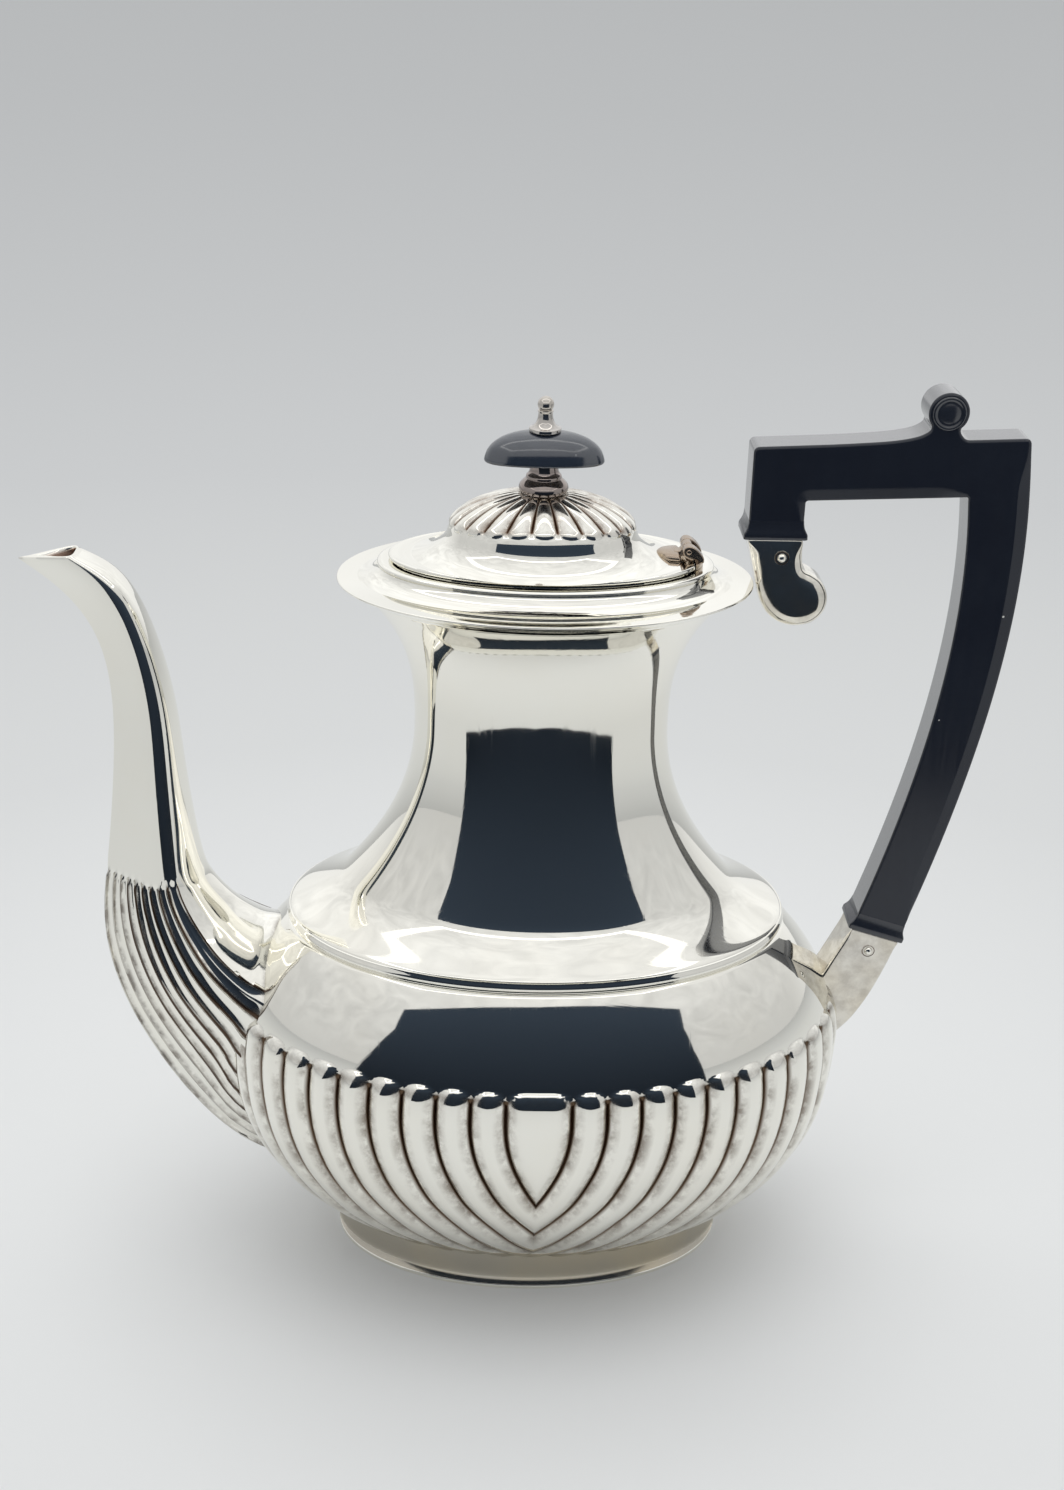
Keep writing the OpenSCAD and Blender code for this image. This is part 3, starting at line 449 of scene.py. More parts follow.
def section_place(t, ridge):
    """Place from the outer edge (-1) to the inner one (1), with the ridge where this station has it."""
    c = np.cos(t)
    return np.where(c < RIDGE, (c + 1) * (ridge + 1) / (RIDGE + 1) - 1,
                    ridge + (c - RIDGE) * (1 - ridge) / (1 - RIDGE))


def spout_ring(station, section, thin, t):
    out, out_z, back, back_z, half = station
    ridge, blunt, fold = section
    o = np.array([BOWL_END - out, out_z])
    i = np.array([BOWL_END - back, back_z])
    c, e = (o + i) / 2, (i - o) / 2
    k = (1 - thin / np.linalg.norm(e)) * section_place(t, ridge)
    return np.stack([c[0] + e[0] * k, -(half - thin) * section_width(t, blunt, fold), c[1] + e[1] * k], axis=-1)


def bowl_end_x(y, z):
    a, b = bowl_at(z, 0), bowl_at(z, 1)
    return a * np.clip(1 - np.abs(y / b) ** OVAL, 0, 1) ** (1 / OVAL)


def spout_root(thin, sink, t):
    ridge, blunt, fold = ROOT_SECTION
    z = ROOT_Z + (ROOT_H - thin) * section_place(t, ridge)
    y = -(ROOT_W - thin) * section_width(t, blunt, fold)
    return np.stack([-bowl_end_x(y, z) + sink, y, z], axis=-1)


def make_spout():
    t = turns(SPOUT_AROUND)
    root = spout_root(0, 1.0, t)
    rings = [spout_ring(station, section, 0, t) for station, section in zip(SPOUT, SECTIONS)]
    low = np.maximum(0, -np.cos(t))[:, None]
    bend = (root + rings[0]) / 2 + low * np.array([-1.0, 0, -4.0])
    outside = soften(through([root, bend] + rings, SPOUT_STEPS), 3.0)
    run = run_along(outside)
    outer = np.clip(-np.cos(t), 0, 1)
    top = REEDS_TOP + 2.3 * outer ** 40 + 1.8 * smoothstep(0.1, 0.46, np.cos(t))
    climb = np.maximum.accumulate(outside[SPOUT_STEPS:, :, 2], axis=0)
    end = np.array([np.interp(top[j], climb[:, j], run[SPOUT_STEPS:, j]) for j in range(SPOUT_AROUND)])
    below = end[None, :] - run
    side = np.abs(t - math.pi)
    ridge = math.pi - math.acos(RIDGE)
    pitch_run = np.linalg.norm(np.roll(outside, -1, axis=1) - outside, axis=-1)
    middle = SPOUT_AROUND // 2
    flank = np.zeros_like(run)
    flank[:, middle + 1:] = np.cumsum(pitch_run[:, middle:-1], axis=1)
    flank[:, 1:middle] = flank[:, -1:middle:-1]
    flank[:, 0] = flank[:, -1]
    edge = int(round(middle + ridge / (2 * math.pi) * SPOUT_AROUND))
    full = np.maximum(flank[:, edge:edge + 1], 1e-6)
    share = flank / full * REEDS
    off = np.abs(share - np.rint(share))
    half = full / REEDS / 2
    on = (side[None, :] < math.pi * 0.93) & (share < REEDS + 0.5) & (below > 0)
    width = 0.42 * 2 * half
    inside, dome = bulge(width, off * 2 * half, np.maximum(width - below, 0), 0.5)
    gutter = -0.75 * smoothstep(0, 1.6, below / np.maximum(half, 0.3))
    lift = np.where(on, gutter + (0.35 - gutter) * dome, 0.0) * smoothstep(0.3, 1.2, half)
    lift *= 0.35 + 0.65 * smoothstep(0.0, 5.0, run)
    groove = np.where(on, np.clip(1 - inside / (0.45 * width), 0, 1) * smoothstep(0, 0.8, below / width), 0.0)
    groove *= 0.75 + 0.25 * smoothstep(1.0, 5.0, share)
    groove = np.maximum(groove, 0.7 * (1 - smoothstep(0.4, 2.2, run)))
    outside = outside + surface_normals(outside) * lift[..., None]
    lip = rings[-1]
    tip, back = lip[middle], lip[0]
    hole_at = 0.36 + 0.6 * (np.cos(t) + 1) / 2
    hole = tip + (back - tip) * hole_at[:, None]
    hole[:, 1] = -3.3 * section_width(t, 1.0, 0.0)
    turned_in = ((0.12, 0.2), (0.35, 0.3), (0.8, 0.25), (1.0, 0.0))
    inside_rows = [lip + (hole - lip) * f + [0, 0, rise] for f, rise in turned_in] + [hole + [0.3, 0, -0.8]]
    inner = through([spout_ring(a, b, 1.1, t) for a, b in zip(SPOUT[:-1], SECTIONS[:-1])], 4)[::-1]
    inside_rows += list(inner) + [spout_root(1.2, 1.0, t)]
    rows = np.concatenate([outside, np.array(inside_rows), outside[:1]]) + [POT_X, 0, 0]
    lining, grooves = np.zeros((2, len(rows), SPOUT_AROUND))
    lining[len(outside) + len(turned_in):-1] = 1.0
    grooves[:len(outside)] = groove
    grooves[-1] = groove[0]
    return fit_rings("spout_reeded", rows, "pot", PLATE, "spout", {"groove": grooves, "inside": lining}, 60)


# Lid with its fluted dome, knob and finial

PETALS = 22
PETAL_STEPS = 14
PETAL_ROUND = 1.9
DOME_OUTLINE = [
    (1.34, -0.008), (1.25, 0.03), (1.165, 0.08), (1.095, 0.145), (1.04, 0.215), (1.0, 0.29), (0.98, 0.36),
    (0.965, 0.43), (0.945, 0.5), (0.908, 0.58), (0.842, 0.67), (0.745, 0.76), (0.635, 0.84), (0.525, 0.905),
    (0.41, 0.955), (0.3, 0.985)]


def make_lid():
    around = PETALS * PETAL_STEPS
    plate = [(-0.5, 0.0), (-0.12, 0.12), (0.0, 0.45), (-0.06, 0.75), (-0.3, 1.0)]
    rows = oval_rows(beyond(LID, plate, LID_Z), around)
    fine = soften(through(DOME_OUTLINE, 7), 2.0)
    dome = np.array(oval_rows([(DOME[0] * k, DOME[1] * k, LID_TOP + DOME_H * h) for k, h in fine], around, DOME_X))
    edge = rows[-1]
    for f in (0.12, 0.3, 0.5, 0.7, 0.85):
        between = edge + (dome[0] - edge) * f
        between[:, 2] = LID_TOP - 0.12 * math.sin(math.pi * f)
        rows.append(between)
    plain = len(rows)
    run = run_along(dome)
    above = run - np.interp(0.5, fine[:, 1], run.mean(axis=1))
    share = np.abs(((np.arange(around) / PETAL_STEPS) % 1.0) - 0.5) * 2
    width = np.linalg.norm(np.roll(dome, -1, axis=1) - np.roll(dome, 1, axis=1), axis=-1)
    half = np.maximum(width * PETAL_STEPS / 4, 0.3)
    inside, petal = bulge(half, share[None, :] * half, np.maximum(PETAL_ROUND - above, 0) * half / PETAL_ROUND, 0.5)
    gutter = -0.75 * smoothstep(0.2, 1.6, above / PETAL_ROUND)
    fade = smoothstep(0.98, 0.8, fine[:, 1])[:, None]
    lift = np.where(above > 0, gutter + (0.5 - gutter) * petal, 0) * (0.35 + 0.65 * fade)
    groove = np.where(above > 0, np.clip(1 - inside / (0.85 * half), 0, 1), 0)
    groove *= smoothstep(0.1, 0.8, above / PETAL_ROUND)
    # Painted shade: towards the top of the dome the mark rises and darkens it towards the tarnish colour, a painted
    # reflection of dark surroundings.
    groove = np.maximum(groove, 0.55 * smoothstep(0.62, 0.97, fine[:, 1])[:, None])
    rows += list(dome + surface_normals(dome) * lift[..., None])
    under = [(DOME[0] * k - 1.3, DOME[1] * k - 1.3, LID_TOP + DOME_H * h - 1.0) for k, h in fine[::-9]]
    under = [(4.4, 4.4, DOME_TOP - 0.05), (3.6, 3.6, DOME_TOP - 1.2)] + [u for u in under if u[2] > LID_Z + 0.05]
    rows += oval_rows(under + [(DOME[0] * 1.05, DOME[1] * 1.05, LID_Z)], around, DOME_X) + rows[:1]
    grooves = np.zeros((len(rows), around))
    grooves[plain:plain + len(dome)] = groove
    grooves[plain + len(dome)] = 0.6
    lid = raise_rings("lid_domed", rows, {"groove": grooves}, 60)
    open_mesh(lid)
    bpy.ops.mesh.bisect(plane_co=(LID_END * MM, 0, 0), plane_no=(1, 0, 0), use_fill=True, clear_outer=True)
    bpy.ops.mesh.select_all(action="SELECT")
    bpy.ops.mesh.remove_doubles(threshold=MERGE)
    close_mesh()
    shade(60)
    return fit_out(lid, "lid", PLATE, "lid")


KNOB = (13.5, 6.4)
KNOB_INSET = [(1.2, 0.0), (0.35, 0.12), (0.0, 0.55), (0.12, 1.3), (0.7, 2.7), (1.8, 4.0), (3.6, 5.2), (5.6, 6.0),
              (7.6, 6.5), (9.6, 6.75)]
KNOB_H = 6.8


def make_knob():
    t = turns(128)
    rows = [oval_ring(a, b, KNOB_Z, t, DOME_X) for a, b in ((POINT, POINT), (KNOB[0] - 4, KNOB[1] - 1.8))]
    for d, h in through(KNOB_INSET, 6):
        ring = oval_ring(max(KNOB[0] - d, 3.2), max(KNOB[1] - d * 0.44, 1.6), KNOB_Z + h, t, DOME_X)
        ring[:, 2] -= 0.45 * (np.abs(ring[:, 0] - DOME_X) / KNOB[0]) ** 2 * (1 - h / KNOB_H)
        rows.append(ring)
    rows.append(oval_ring(POINT, POINT, KNOB_Z + KNOB_H, t, DOME_X))
    return fit_rings("knob", rows, "lid", "black knob", "finial_knob", crease=60)


FINIAL_FOOT = [(4.9, 0.0), (5.35, 0.35), (5.6, 0.9), (5.62, 1.4), (5.4, 2.0), (4.9, 2.6), (4.3, 3.15), (4.0, 3.45),
               (4.05, 3.7), (3.95, 4.1), (3.6, 4.45), (3.3, 5.1), (3.22, 6.0), (3.3, 6.8), (3.5, 7.2)]
FINIAL_STEM = [(3.3, 0.0), (3.56, 0.1), (3.62, 0.3), (3.62, 0.7), (3.55, 0.9), (3.3, 1.0), (3.0, 1.12), (2.5, 1.55),
               (2.05, 2.15), (1.78, 2.9), (1.66, 3.6), (1.64, 4.2), (1.76, 4.6), (1.78, 4.8), (1.5, 4.95),
               (1.22, 5.05)]
BALL, BALL_Z = 1.85, 6.15


def make_finial():
    foot = [(POINT, 0.0), *through(FINIAL_FOOT, 4), (POINT, 7.2)]
    ball = [(BALL * math.sin(a), BALL_Z - BALL * math.cos(a)) for a in np.linspace(0.72, math.pi - 0.001, 18)]
    stem = [(POINT, 0.0), *through(FINIAL_STEM, 4), *ball]
    made = []
    for name, outline, z, around, node in (("finial_foot", foot, DOME_TOP, 72, "finial_base"),
                                           ("finial_top", stem, CAP_Z, 64, "finial_cap")):
        rows = round_rows([(r, z + h) for r, h in outline], around, DOME_X)
        made.append(fit_rings(name, rows, "lid", PLATE, node))
    return made


# Handle, sockets, rivets and hinge

def rounded(corners, step=1.4):
    """Closed outline through (x, z, radius) corners, each eased by its radius."""
    points = []
    count = len(corners)
    at = np.array([c[:2] for c in corners], float)
    for k, here in enumerate(at):
        r = corners[k][2]
        before, after = at[k - 1] - here, at[(k + 1) % count] - here
        lead = min(r, 0.48 * np.linalg.norm(before))
        trail = min(r, 0.48 * np.linalg.norm(after))
        start = here + before / np.linalg.norm(before) * lead
        end = here + after / np.linalg.norm(after) * trail
        for f in np.linspace(0, 1, 6):
            points.append((1 - f) ** 2 * start + 2 * f * (1 - f) * here + f * f * end)
    dense = []
    for k, here in enumerate(points):
        after = points[(k + 1) % len(points)]
        gap = np.linalg.norm(after - here)
        if gap < 1e-4:
            continue
        parts = max(1, round(gap / step))
        dense += [here + (after - here) * f for f in np.arange(parts) / parts]
    return np.array(dense)


def outline_inward(outline):
    """Directions across a closed outline, to its inside."""
    run = np.roll(outline, -1, axis=0) - np.roll(outline, 1, axis=0)
    n = unit(np.stack([-run[:, 1], run[:, 0]], axis=-1))
    area = np.sum(outline[:, 0] * np.roll(outline[:, 1], -1) - np.roll(outline[:, 0], -1) * outline[:, 1])
    return n if area > 0 else -n


def ease_loop(points, rounds):
    """Closed line drawn towards its neighbours' middles this many times."""
    for _ in range(rounds):
        points = points / 2 + (np.roll(points, 1, axis=0) + np.roll(points, -1, axis=0)) / 4
    return points


def cut_plate(name, outline, half, width, drop, flat=0.0, crease=40.0, middle=0.0, rubbed=1.0, easing=0):
    """A plate of this outline, its edges eased over width and drop, or cut flat where flat is 1."""
    inward = outline_inward(outline)
    width, drop, flat = (np.zeros(len(outline)) + v for v in (width, drop, flat))
    quarter = []
    for f in np.linspace(0, 1, 7):
        a = f * math.pi / 2
        share = (1 - flat) * (1 - math.cos(a)) + flat * f
        rise = (1 - flat) * math.sin(a) + flat * f
        edge = ease_loop(outline + inward * (width * share)[:, None], round(easing * f))
        quarter.append((edge, half - drop * (1 - rise), float(f == 0)))
    last = ease_loop(outline + inward * (width + 0.12)[:, None], easing + 2 * (easing > 0))
    quarter.append((last, np.full(len(outline), half), 0.0))
    both = [(e, -y, w) for e, y, w in quarter[::-1]] + quarter
    rows = [np.stack([e[:, 0], middle + y, e[:, 1]], axis=-1) for e, y, _ in both]
    sides = np.array([w for _, _, w in both])[:, None]
    plate = raise_rings(name, rows, {"side": sides * rubbed}, crease)
    open_mesh(plate)
    bpy.ops.mesh.fill_holes(sides=0)
    close_mesh()
    flatten_shading(plate, crease)
    return plate


def make_collar(name, foot, up, across, wide):
    """Flared ring at a handle end: foot is its middle, up its direction, across the way that it is wide."""
    rows = []
    for h, out in COLLAR:
        a, b, r = wide / 2 + out, HANDLE_HALF + 0.4 * out, 0.35
        ring = []
        for sx, sy, turn in ((1, 1, 0), (-1, 1, 1), (-1, -1, 2), (1, -1, 3)):
            for q in (turn + np.linspace(0, 1, 5)) * math.pi / 2:
                u, v = sx * (a - r) + r * math.cos(q), sy * (b - r) + r * math.sin(q)
                ring.append((foot[0] + up[0] * h + across[0] * u, v, foot[1] + up[1] * h + across[1] * u))
        rows.append(np.array(ring))
    first, last = (end.mean(axis=0) + (end - end.mean(axis=0)) * POINT for end in (rows[0], rows[-1]))
    return raise_rings(name, [first, *rows, last], {"side": 0.25}, 35)


def join_up(first, *others):
    bpy.ops.object.select_all(action="DESELECT")
    for piece in (first, *others):
        piece.select_set(True)
    bpy.context.view_layer.objects.active = first
    bpy.ops.object.join()
    return first


HANDLE_HALF = 4.8
SCROLL = (93.7, 220.4)
SCROLL_R = 4.6
COLLAR = [(0.0, 0.8), (0.12, 1.0), (1.1, 1.0), (1.5, 0.86), (2.0, 0.56), (2.7, 0.24), (3.6, 0.06), (4.4, 0.0)]
# Corners of the cup's mouth, which the handle's lower end stands in
CUP_LEFT, CUP_RIGHT = (83.79, 90.46), (95.61, 86.74)
INNER_ARM = [(100.8, 193.3), (101.1, 185.2), (101.04, 177.0), (100.6, 168.55), (99.8, 159.9), (98.64, 151.1),
             (97.14, 142.06), (95.3, 132.8), (93.14, 123.4), (90.67, 113.7), (87.89, 103.8), (84.8, 93.7)]
OUTER_ARM = [(96.64, 90.0), (99.94, 101.2), (102.94, 112.05), (105.6, 122.6), (107.93, 132.8), (109.92, 142.7),
             (111.57, 152.3), (112.85, 161.7), (113.78, 170.9), (114.33, 179.8), (114.51, 188.6), (114.3, 197.2),
             (113.7, 205.7)]
SCROLL_EYE = [(POINT, -4.7), (3.85, -4.7), (3.75, -5.0), (3.45, -5.12), (3.1, -5.05), (2.85, -4.85), (2.5, -4.84),
              (2.15, -4.95), (1.5, -5.1), (0.8, -5.16), (POINT, -5.18)]


def make_handle():
    curl = [(SCROLL[0] + SCROLL_R * math.cos(a), SCROLL[1] + SCROLL_R * math.sin(a), 1.0)
            for a in np.radians(np.arange(-52, 222, 13))]
    corners = [(51.0, 191.2, 1.5), (63.5, 191.2, 1.5), (63.5, 199.8, 0.7), (100.1, 201.2, 0.5)]
    corners += [(x, z, 5.0) for x, z in INNER_ARM] + [(84.3, 91.9, 0.9), (96.1, 88.2, 0.9)]
    corners += [(x, z, 5.0) for x, z in OUTER_ARM] + [(112.8, 215.0, 1.4), (98.2, 214.35, 1.0), (97.0, 215.5, 0.8)]
    corners += curl + [(89.9, 216.3, 0.9), (87.6, 214.95, 2.5), (82.0, 213.85, 4.0), (70.0, 212.95, 4.0),
                       (51.0, 212.0, 1.4)]
    outline = rounded(corners)
    x, z = outline.T
    n = -outline_inward(outline)
    arm = (n[:, 0] > 0.5) * smoothstep(211, 205, z) * smoothstep(95, 101, z) * (x > 95)
    under = (n[:, 1] < -0.7) * smoothstep(100, 96, x) * (z > 198) * (x > 63.4)
    leg = (n[:, 0] > 0.7) * (x < 66) * smoothstep(195.5, 198.5, z)
    flat = soften(np.clip(arm + under + leg, 0, 1)[:, None], 1.5)[:, 0]
    hidden = smoothstep(195, 192.5, z) * (x < 66) + smoothstep(95, 92.5, z)
    width = (0.7 + 2.1 * flat) * (1 - 0.7 * hidden)
    rubbed = 0.25 + 0.75 * np.clip(np.maximum(n[:, 1], -n[:, 0]), 0, 1)
    plate = cut_plate("handle_arm", outline, HANDLE_HALF, width, 0.7 - 0.1 * flat, flat, 30, rubbed=rubbed)
    upper = make_collar("upper_collar", (57.25, 190.7), (0, 1), (1, 0), 12.5)
    along = unit(np.subtract(CUP_RIGHT, CUP_LEFT))
    lower = make_collar("lower_collar", (89.72, 88.62), (-along[1], along[0]), along, 12.4)
    eyes = [raise_rings("scroll_eye", pin_rows(SCROLL, [(r, side * y) for r, y in SCROLL_EYE], 48), {"side": 0.4})
            for side in (1, -1)]
    return fit_out(join_up(plate, upper, lower, *eyes), "pot", "black handle", "handle")


HINGE = (37.9, 187.3)
LEAF_END = 36.3
LEAF_LONG = 5.6
FIXED_X = 39.42
SOCKET_HALF = 5.15
ROD = [(POINT, -4.9), (0.45, -4.9), (0.57, -4.82), (0.6, -4.7), (0.6, 4.7), (0.57, 4.82), (0.45, 4.9), (POINT, 4.9)]
# Radius, y and dirt
RIVET = [(1.75, -5.1, 0.0), (1.7, -5.2, 0.6), (1.5, -5.2, 1.0), (1.3, -5.1, 1.0), (1.12, -5.0, 1.0),
         (1.02, -5.15, 0.3), (0.95, -5.4, 0.0), (0.75, -5.66, 0.0), (0.45, -5.82, 0.0), (POINT, -5.88, 0.0)]
RIVETS = {"upper": (59.0, 186.5), "lower": (88.35, 84.31)}


def flat_leaf(name, ring, levels):
    """A flat piece of this (x, y) ring, drawn in about its middle by each (share, height) level."""
    ring = np.array(ring)
    mid = ring.mean(axis=0)
    rows = [[(*(mid + (q - mid) * share), z) for q in ring] for share, z in levels]
    return raise_rings(name, rows, crease=35)


def make_fixed_leaf():
    reach = math.acos((FIXED_X - POT_X) / LID[0])
    arc = [(POT_X + LID[0] * math.cos(q), LID[1] * math.sin(q)) for q in np.linspace(-reach, reach, 33)]
    chord = [(FIXED_X, y) for y in np.linspace(arc[-1][1], arc[0][1], 17)[1:-1]]
    levels = [(POINT, 183.65), (0.97, 183.65), (1.0, 183.8), (1.0, 184.75), (0.985, 184.93), (0.95, 185.0),
              (POINT, 185.0)]
    segment = flat_leaf("hinge_fixed_leaf", arc + chord, levels)
    x, z = HINGE
    ear = rounded([(x - 1.15, z - 1.1, 0.8), (x - 1.4, z + 0.2, 0.9), (x - 0.6, z + 1.35, 0.9),
                   (x + 0.8, z + 1.25, 0.9), (x + 2.2, z + 0.3, 1.4), (41.5, 185.9, 0.8), (41.5, 184.6, 0.5),
                   (39.75, 184.6, 0.5), (39.75, 185.35, 0.3), (x + 0.3, 185.35, 0.6)], 0.4)
    ears = [cut_plate("ear", ear, 1.42, 0.32, 0.32, middle=y) for y in (-3.075, 3.075)]
    return fit_out(join_up(segment, *ears), "pot", TARNISHED, "hinge_body_leaf")


def make_moving_leaf():
    half = [(LEAF_END, 4.5), (LEAF_END - 0.6 * LEAF_LONG, 3.7), (LEAF_END - 0.9 * LEAF_LONG, 1.9)]
    corners = [(u, v, 1.2) for u, v in half] + [(LEAF_END - LEAF_LONG, 0.0, 0.8)]
    corners += [(u, -v, 1.2) for u, v in half[::-1]]
    levels = [(POINT, 185.05), (0.98, 185.05), (1.0, 185.2), (1.0, 185.6), (0.96, 185.95), (0.86, 186.25),
              (0.7, 186.4), (POINT, 186.45)]
    leaf = flat_leaf("hinge_moving_leaf", rounded(corners, 0.5), levels)
    x, z = HINGE
    tongue = rounded([(34.6, 185.1, 0.5), (x - 0.5, 185.4, 0.8), (x + 0.95, z - 1.1, 0.9), (x + 1.4, z + 0.1, 0.9),
                      (x + 0.7, z + 1.25, 0.9), (x - 0.6, z + 1.3, 0.9), (x - 1.35, z + 0.3, 0.9),
                      (x - 1.5, z - 0.7, 0.6), (34.6, 186.5, 0.5)], 0.4)
    return fit_out(join_up(leaf, cut_plate("tongue", tongue, 1.48, 0.3, 0.3)), "lid", TARNISHED, "hinge_lid_leaf")


def make_boot():
    outline = rounded([(51.0, 190.7, 0.5), (53.6, 180.7, 3.0), (54.0, 178.3, 2.0), (55.25, 174.6, 4.0),
                       (57.4, 171.7, 4.0), (60.5, 169.9, 4.0), (64.0, 169.4, 4.0), (68.6, 170.7, 3.0),
                       (71.0, 175.4, 3.0), (69.4, 180.2, 3.0), (66.3, 182.2, 1.6), (64.7, 182.8, 1.2),
                       (64.1, 184.2, 1.6), (63.5, 190.7, 0.5)], 0.7)
    ease = smoothstep(190.4, 186.5, outline[:, 1])
    boot = cut_plate("upper_socket_boot", outline, SOCKET_HALF, 0.25 + 2.6 * ease, 0.25 + 1.9 * ease, easing=14)
    return fit_out(boot, "pot", PLATE, "upper_socket")


def make_cup():
    outline = rounded([(79.4, 59.6, 1.2), (81.9, 59.9, 1.2), (85.65, 64.0, 4.0), (88.37, 68.56, 4.0),
                       (90.61, 73.1, 4.0), (92.47, 77.7, 4.0), (94.1, 82.2, 4.0), (*CUP_RIGHT, 0.4), (*CUP_LEFT, 0.4),
                       (77.3, 77.0, 1.2), (74.8, 75.4, 1.2), (77.4, 70.0, 2.0), (79.0, 64.0, 2.0)], 0.8)
    ease = 0.2 + 0.8 * smoothstep(0.2, 2.5, np.abs((outline - CUP_LEFT) @ np.array([3.72, 11.82]) / 12.39))
    cup = cut_plate("lower_socket_cup", outline, SOCKET_HALF, ease, ease)
    return fit_out(cup, "pot", TARNISHED, "lower_socket")


def make_rod():
    return fit_rings("hinge_rod", pin_rows(HINGE, ROD, 40), "pot", TARNISHED, "hinge_pin")


def make_rivet(end):
    both = RIVET[::-1] + [(r, -y, dirt) for r, y, dirt in RIVET]
    rows = pin_rows(RIVETS[end], [(r, y) for r, y, _ in both], 40)
    dirt = np.array([d for _, _, d in both])[:, None]
    return fit_rings(end + "_rivet", rows, "pot", PLATE, end + "_handle_pin", {"groove": dirt})


# Finishes

class Nodes:
    """An emptied node tree, with short words for the nodes that go into it."""

    def __init__(self, tree):
        self.tree = tree
        tree.nodes.clear()

    def feed(self, slot, value):
        if isinstance(value, bpy.types.NodeSocket):
            self.tree.links.new(value, slot)
        else:
            slot.default_value = value

    def add(self, kind, **given):
        made = self.tree.nodes.new(kind)
        for key, value in given.items():
            if key in made.inputs:
                self.feed(made.inputs[key], value)
            else:
                setattr(made, key, value)
        return made

    def where(self, kind="Object"):
        return self.add("ShaderNodeTexCoord").outputs[kind]

    def axes(self, where):
        return self.add("ShaderNodeSeparateXYZ", Vector=where).outputs

    def mark(self, name):
        return self.add("ShaderNodeAttribute", attribute_name=name).outputs["Fac"]

    def noise(self, where, scale, detail, **given):
        return self.add("ShaderNodeTexNoise", Vector=where, Scale=scale, Detail=detail, **given).outputs["Fac"]

    def stretched(self, where, turn, scale, detail):
        place = self.add("ShaderNodeMapping", Vector=where, Rotation=turn, Scale=scale)
        return self.noise(place.outputs["Vector"], 1.0, detail)

    def math(self, kind, *values):
        made = self.add("ShaderNodeMath", operation=kind)
        for slot, value in zip(made.inputs, values):
            self.feed(slot, value)
        return made.outputs[0]

    def times(self, first, second):
        return self.math("MULTIPLY", first, second)

    def plus(self, first, second):
        return self.math("ADD", first, second)

    def mix(self, factor, first, second, kind="MIX"):
        made = self.add("ShaderNodeMix", data_type="RGBA", blend_type=kind, clamp_factor=True)
        for slot, value in zip((0, 6, 7), (factor, first, second)):
            self.feed(made.inputs[slot], value)
        return made.outputs[2]

    def ramp(self, source, *stops):
        made = self.add("ShaderNodeValToRGB", Fac=source)
        parts = made.color_ramp.elements
        while len(parts) < len(stops):
            parts.new(0.5)
        for part, (place, tone) in zip(parts, stops):
            part.position = place
            part.color = (*tone, 1.0)
        return made.outputs["Color"]

    def fade(self, source, low, high, first=0.0, last=1.0):
        """Grey ramp from one value to another between two places."""
        return self.ramp(source, (low, (first,) * 3), (high, (last,) * 3))

    def bump(self, height, strength, depth):
        return self.add("ShaderNodeBump", Strength=strength, Distance=depth, Height=height).outputs["Normal"]

    def show(self, kind, out="ShaderNodeOutputMaterial", **given):
        """Shader of this kind on the tree's output."""
        self.add(out, Surface=self.add(kind, **given).outputs[0])


def new_group(name, colours, values):
    """Node group with these inputs that puts out colour, roughness and height."""
    nodes = Nodes(bpy.data.node_groups.new(name, "ShaderNodeTree"))
    for way, kind, sockets in (("INPUT", "Color", colours), ("INPUT", "Float", values),
                               ("OUTPUT", "Color", ("Colour",)), ("OUTPUT", "Float", ("Roughness", "Height"))):
        for socket in sockets:
            nodes.tree.interface.new_socket(name=socket, in_out=way, socket_type="NodeSocket" + kind)
    return nodes, nodes.add("NodeGroupInput").outputs


def silver_group():
    """Polish, hairlines and tarnish of silver plate; the mark's darkening is also painted shade on the lid's upper
    dome.
    """
    nodes, given = new_group("silver wear", ("Bright", "Tarnish"), ("Groove", "Dullness", "Stain"))
    where = nodes.where()
    cloud = nodes.noise(where, 38.0, 4.0, Roughness=0.55)
    patch = nodes.noise(where, 170.0, 8.0, Roughness=0.7)
    speck = nodes.noise(where, 1500.0, 2.0)
    dent = nodes.noise(where, 34.0, 0.6)
    lines = 0.0
    for turn, scale in (((0.4, 0.3, 0.2), (40, 2600, 90)), ((1.1, 0.2, 0.9), (2400, 60, 50)),
                        ((0.2, 0.9, 1.6), (60, 2200, 45))):
        lines = nodes.math("MAXIMUM", lines, nodes.fade(nodes.stretched(where, turn, scale, 1.0), 0.66, 0.72))
    # Where the mark is, the colour goes towards tarnish: real tarnish in grooves and hollows, and painted shade on
    # the lid's upper dome.
    core = nodes.fade(given["Groove"], 0.66, 0.92)
    halo = nodes.times(given["Groove"], nodes.fade(patch, 0.40, 0.60, 0.05, 0.95))
    soil_and_shade = nodes.math("MAXIMUM", core, halo)
    stain = nodes.times(given["Stain"], nodes.fade(cloud, 0.42, 0.7))
    warm = nodes.mix(stain, given["Bright"], (0.80, 0.66, 0.40, 1.0))
    dull = nodes.times(given["Dullness"], nodes.fade(patch, 0.3, 0.75, 0.6, 1.15))
    dull = nodes.plus(nodes.plus(dull, nodes.times(lines, 0.03)), nodes.times(soil_and_shade, 0.32))
    height = nodes.plus(nodes.plus(dent, nodes.times(lines, -0.003)), nodes.times(speck, 0.002))
    nodes.add("NodeGroupOutput", Colour=nodes.mix(soil_and_shade, warm, given["Tarnish"]), Roughness=dull, Height=height)
    return nodes.tree


